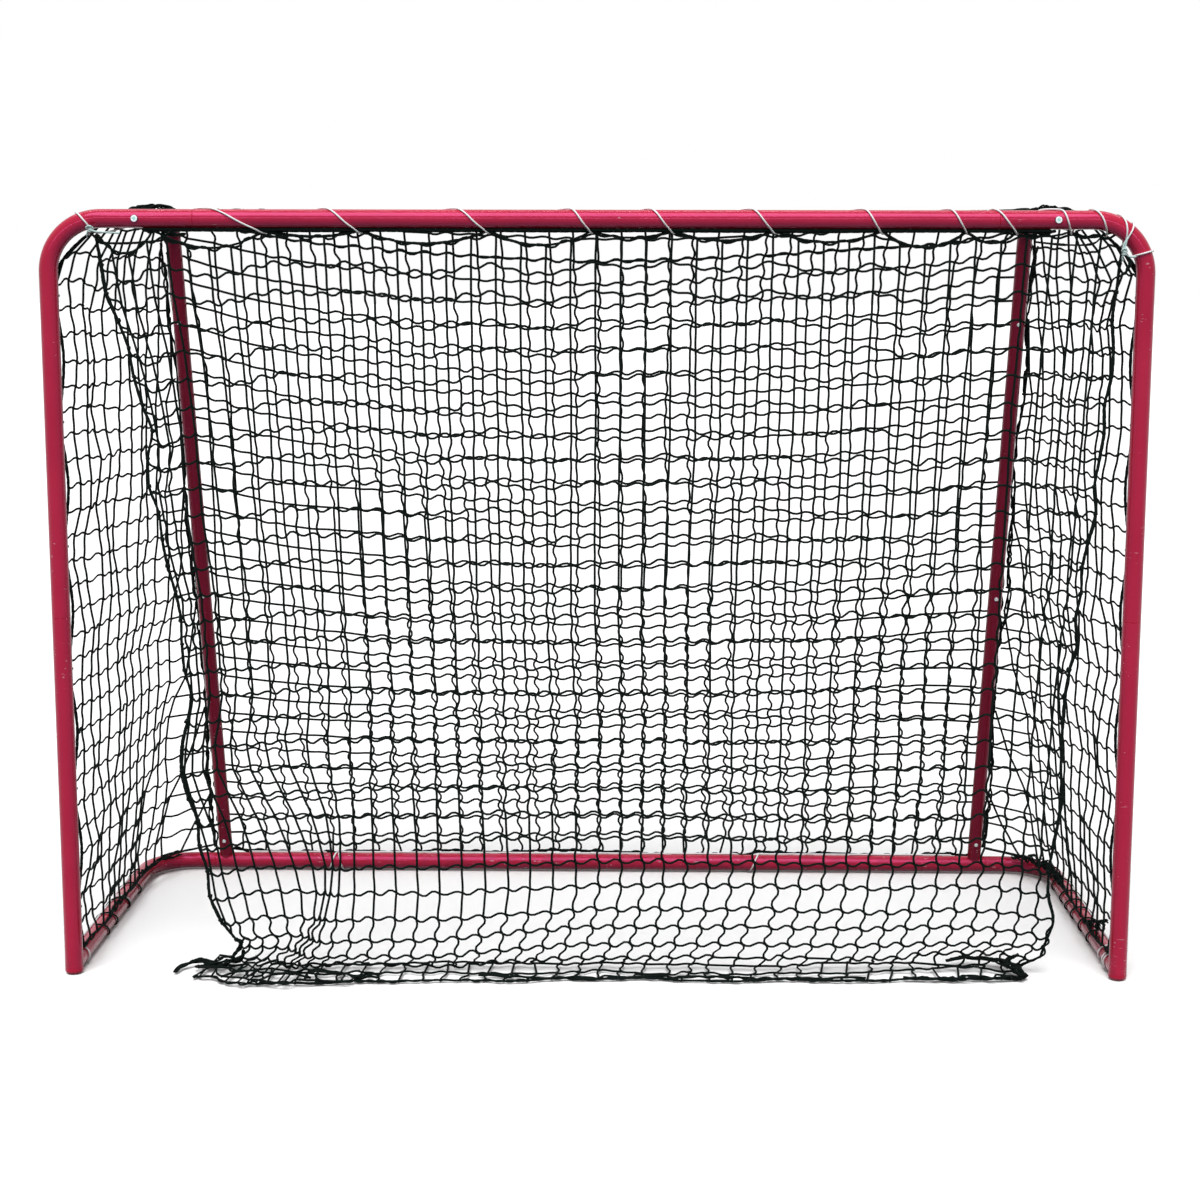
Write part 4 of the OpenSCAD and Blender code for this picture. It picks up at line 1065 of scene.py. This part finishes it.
def bow_knot(shape, at, loop, ends):
    """A small tight knot: wrapped turns, one loop out of them, and an end through each list of
    points, all in tenths of a millimetre."""
    at = metres(at)
    t = np.linspace(0, 1, 60)
    turns = 2 * np.pi * 2.5 * t
    white_line(shape, at + xyz(0.0026 * np.cos(turns), -0.0024 * np.sin(turns),
                               0.0034 * (2 * t - 1)))
    turns = 2 * np.pi * 1.4 * t
    white_line(shape, at + xyz(0.0038 * (2 * t - 1), -0.0024 * np.cos(turns) - 0.0006,
                               0.0022 * np.sin(turns) + 0.0008))
    across, up = metres(loop)
    turns = 2 * np.pi * t + 0.6
    white_line(shape, at + [0, -0.0026, 0] + xyz(
        across * np.cos(turns), -0.0012 * np.sin(turns), up * (1 + np.sin(turns))))
    for end in ends:
        white_line(shape, smooth_line([at + [0, -0.003, 0], *metres(end)], 0.002))


hand_over(crossbar_cord(), "crossbar_cord", "crossbar_lacing", white_cord)

knots_shape = Shape()
bow_knot(knots_shape, (-7455, -175, 11475), (48, 26),
         [[(-7355, -205, 11445), (-7195, -185, 11435), (-7025, -125, 11425)],
          [(-7495, -175, 11430), (-7510, -165, 11375)]])
bow_knot(knots_shape, (7768, -175, 11165), (36, 30),
         [[(7778, -190, 11250), (7800, -178, 11340), (7812, -160, 11390)],
          [(7748, -190, 11240), (7788, -185, 11335), (7826, -160, 11385)],
          [(7815, -190, 11122), (7880, -185, 11104), (7950, -168, 11108)],
          [(7745, -175, 11100), (7760, -165, 11040)]])
hand_over(knots_shape, "cord_bows", "lacing_knots", knot_cord_painted_shade)


def round_rail(points, rail, reach, lowest):
    """The points of a winding about a base rail: "left", "right" or "back"."""
    s, degrees = points.T
    side = {"left": -1, "right": 1, "back": 0}[rail]
    centre = xyz(side * POST_X, s, RAIL_Z) if side else xyz(s, BASE_DEPTH, RAIL_Z)
    line = centre + round_it((0, 0, 1), (-side, 0, 0) if side else (0, 1, 0), degrees) * reach
    line[:, 2] = np.maximum(line[:, 2], lowest)
    return line


for rail, whole, keys in (("left", BASE_DEPTH, LEFT_RAIL_KEYS),
                          ("right", BASE_DEPTH, RIGHT_RAIL_KEYS),
                          ("back", STANCHION_X, BACK_RAIL_KEYS)):
    shape = Shape()
    points = wound([(share * whole, degrees) for share, degrees in keys])
    white_line(shape, round_rail(points, rail, WIND_R, CORD_R))
    hand_over(shape, "rail_cord_" + rail, "base_lacing_" + rail, white_cord)


# ---------- dark twine that ties the nets to the frame ----------

TIE_R = TUBE_R + TWINE_R + 0.0003
TIE_TWINE_R = 0.0015


def tie_line(rail, pitch, rng):
    """Twine wound round a side rail with uneven turns."""
    start, stop = 0.15, 0.485
    keys = [(start + k * pitch / 2 + rng.normal() * pitch * 0.16, 180.0 * k)
            for k in range(int((stop - start) / pitch * 2) + 1)]
    return even_line(round_rail(wound(keys, 14.0), rail, TIE_R, TWINE_R), 0.004)


# Bunched twine over each arm, on the base's corners, by the right post, under the right bow and
# under each arm: strands, turns in a metre, and tangle()'s keys in tenths of a millimetre
BUNCHES = [
    (6, 30, [(-7020, 360, 11740, 20), (-6880, 400, 11805, 40), (-6650, 420, 11820, 50),
        (-6400, 400, 11790, 40), (-6180, 340, 11720, 20)]),
    (6, 30, [(6400, 340, 11720, 20), (6520, 400, 11790, 40), (6760, 420, 11820, 50),
        (7000, 420, 11810, 45), (7180, 360, 11740, 20)]),
    (6, 22, [(8020, 3950, 360, 40), (8010, 4400, 390, 100), (7930, 4900, 410, 110),
        (7760, 5300, 400, 100), (7450, 5620, 380, 40)]),
    (3, 16, [(-8060, 4300, 360, 40), (-7900, 5000, 380, 50), (-7550, 5480, 380, 40)]),
    (4, 24, [(8060, 1900, 360, 40), (8100, 1500, 410, 80), (8120, 1100, 500, 100),
        (8120, 800, 680, 40)]),
    (4, 26, [(7790, -190, 11140, 15), (7860, -210, 11050, 30), (7830, -210, 10950, 40),
        (7770, -210, 10850, 30)]),
    (4, 26, [(-7000, 1300, 11490, 20), (-6830, 1350, 11455, 40), (-6640, 1400, 11425, 45),
        (-6480, 1400, 11420, 30), (-6350, 1350, 11420, 20)]),
    (4, 26, [(6400, 1350, 11470, 20), (6550, 1400, 11440, 40), (6720, 1400, 11425, 45),
        (6900, 1350, 11455, 30), (7040, 1300, 11490, 20)])]

rng = np.random.default_rng(47)
ties = Shape()
for rail, pitch in (("left", 0.08), ("right", 0.056)):
    ties.tubes(tie_line(rail, pitch, rng), TIE_TWINE_R, 5)
for strands, turns, keys in BUNCHES:
    tangle(ties, metres(keys), strands, rng, turns, 0.0035, curl=0.5, radius=TIE_TWINE_R)
# The edge of the main net that the white cord holds against the underside of the crossbar
edge_x = np.linspace(-0.672, 0.672, 200)
for radius, y, z, wave in ((0.0022, -0.0045, 1.1485, 0.0), (0.0019, 0.004, 1.1463, 0.0006)):
    edge = xyz(edge_x, y + 0.0004 * wander(200, 30, rng), z + wave * wander(200, 16, rng))
    rope(ties, edge, radius, lumpy=0.06, rng=rng)
hand_over(ties, "net_ties")


# ---------- floor and light ----------

FLOOR_BOUNCE = (0.07, 0.065, 0.065)
FLOOR_SEEN = (0.98, 0.98, 0.98)
WORLD_LIGHT = 0.42
KEY_ANGLE = 58.0
KEY_ASIDE = 6.0
KEY_SIZE = 45.0
KEY_LIGHT = 3.4
FLOOR_HALF = 40.0
FLOOR_GAP = 0.0005


def white_floor():
    """A floor that is white to look at, but throws little light back."""
    mesh = bpy.data.meshes.new("floor")
    corners = [(-1, -1), (1, -1), (1, 1), (-1, 1)]
    mesh.from_pydata([(x * FLOOR_HALF, y * FLOOR_HALF, 0) for x, y in corners], [], [(0, 1, 2, 3)])
    floor = placed("floor", mesh)
    floor.location.z = -FLOOR_GAP
    paint = material("floor", FLOOR_SEEN, 1.0, Specular_IOR_Level=0.0)
    n = Nodes(paint)
    n.set("Base Color", n.mix(n.in_sight(), FLOOR_BOUNCE, FLOOR_SEEN))
    mesh.materials.append(paint)


def white_world():
    """A world that is white to look at, and gives a weaker light."""
    world = bpy.data.worlds.new("studio")
    bpy.context.scene.world = world
    world.use_nodes = True
    n = Nodes(world, "Background")
    n.shader.inputs["Color"].default_value = (1, 1, 1, 1)
    n.set("Strength", n.span(n.in_sight(), 0.0, 1.0, WORLD_LIGHT, 1.0))


def key_light():
    """A large soft overhead lamp in front of the goal, as a wide sun."""
    light = bpy.data.lights.new("key", "SUN")
    light.energy = KEY_LIGHT
    light.angle = math.radians(KEY_SIZE)
    turn = (math.radians(90 - KEY_ANGLE), 0, math.radians(-KEY_ASIDE))
    placed("key", light).rotation_euler = turn


def strip_light(name, at, toward, size, power):
    """A long narrow lamp, whose line shows along the glossy tubes. It only makes highlights."""
    light = bpy.data.lights.new(name, "AREA")
    light.shape = "RECTANGLE"
    light.size, light.size_y = size
    light.energy = power
    made = placed(name, light)
    made.location = at
    made.rotation_mode = "QUATERNION"
    made.rotation_quaternion = (Vector(toward) - Vector(at)).to_track_quat("-Z", "Y")
    made.visible_diffuse = False


white_floor()
white_world()
key_light()
strip_light("strip_top", (0.0, 0.6, 3.4), (0.0, -0.2, 1.0), (5.0, 0.1), 22)
strip_light("strip_front", (0.0, -3.0, 1.7), (0.0, -0.2, 1.0), (5.0, 0.22), 30)

bpy.context.scene.view_settings.view_transform = "Standard"
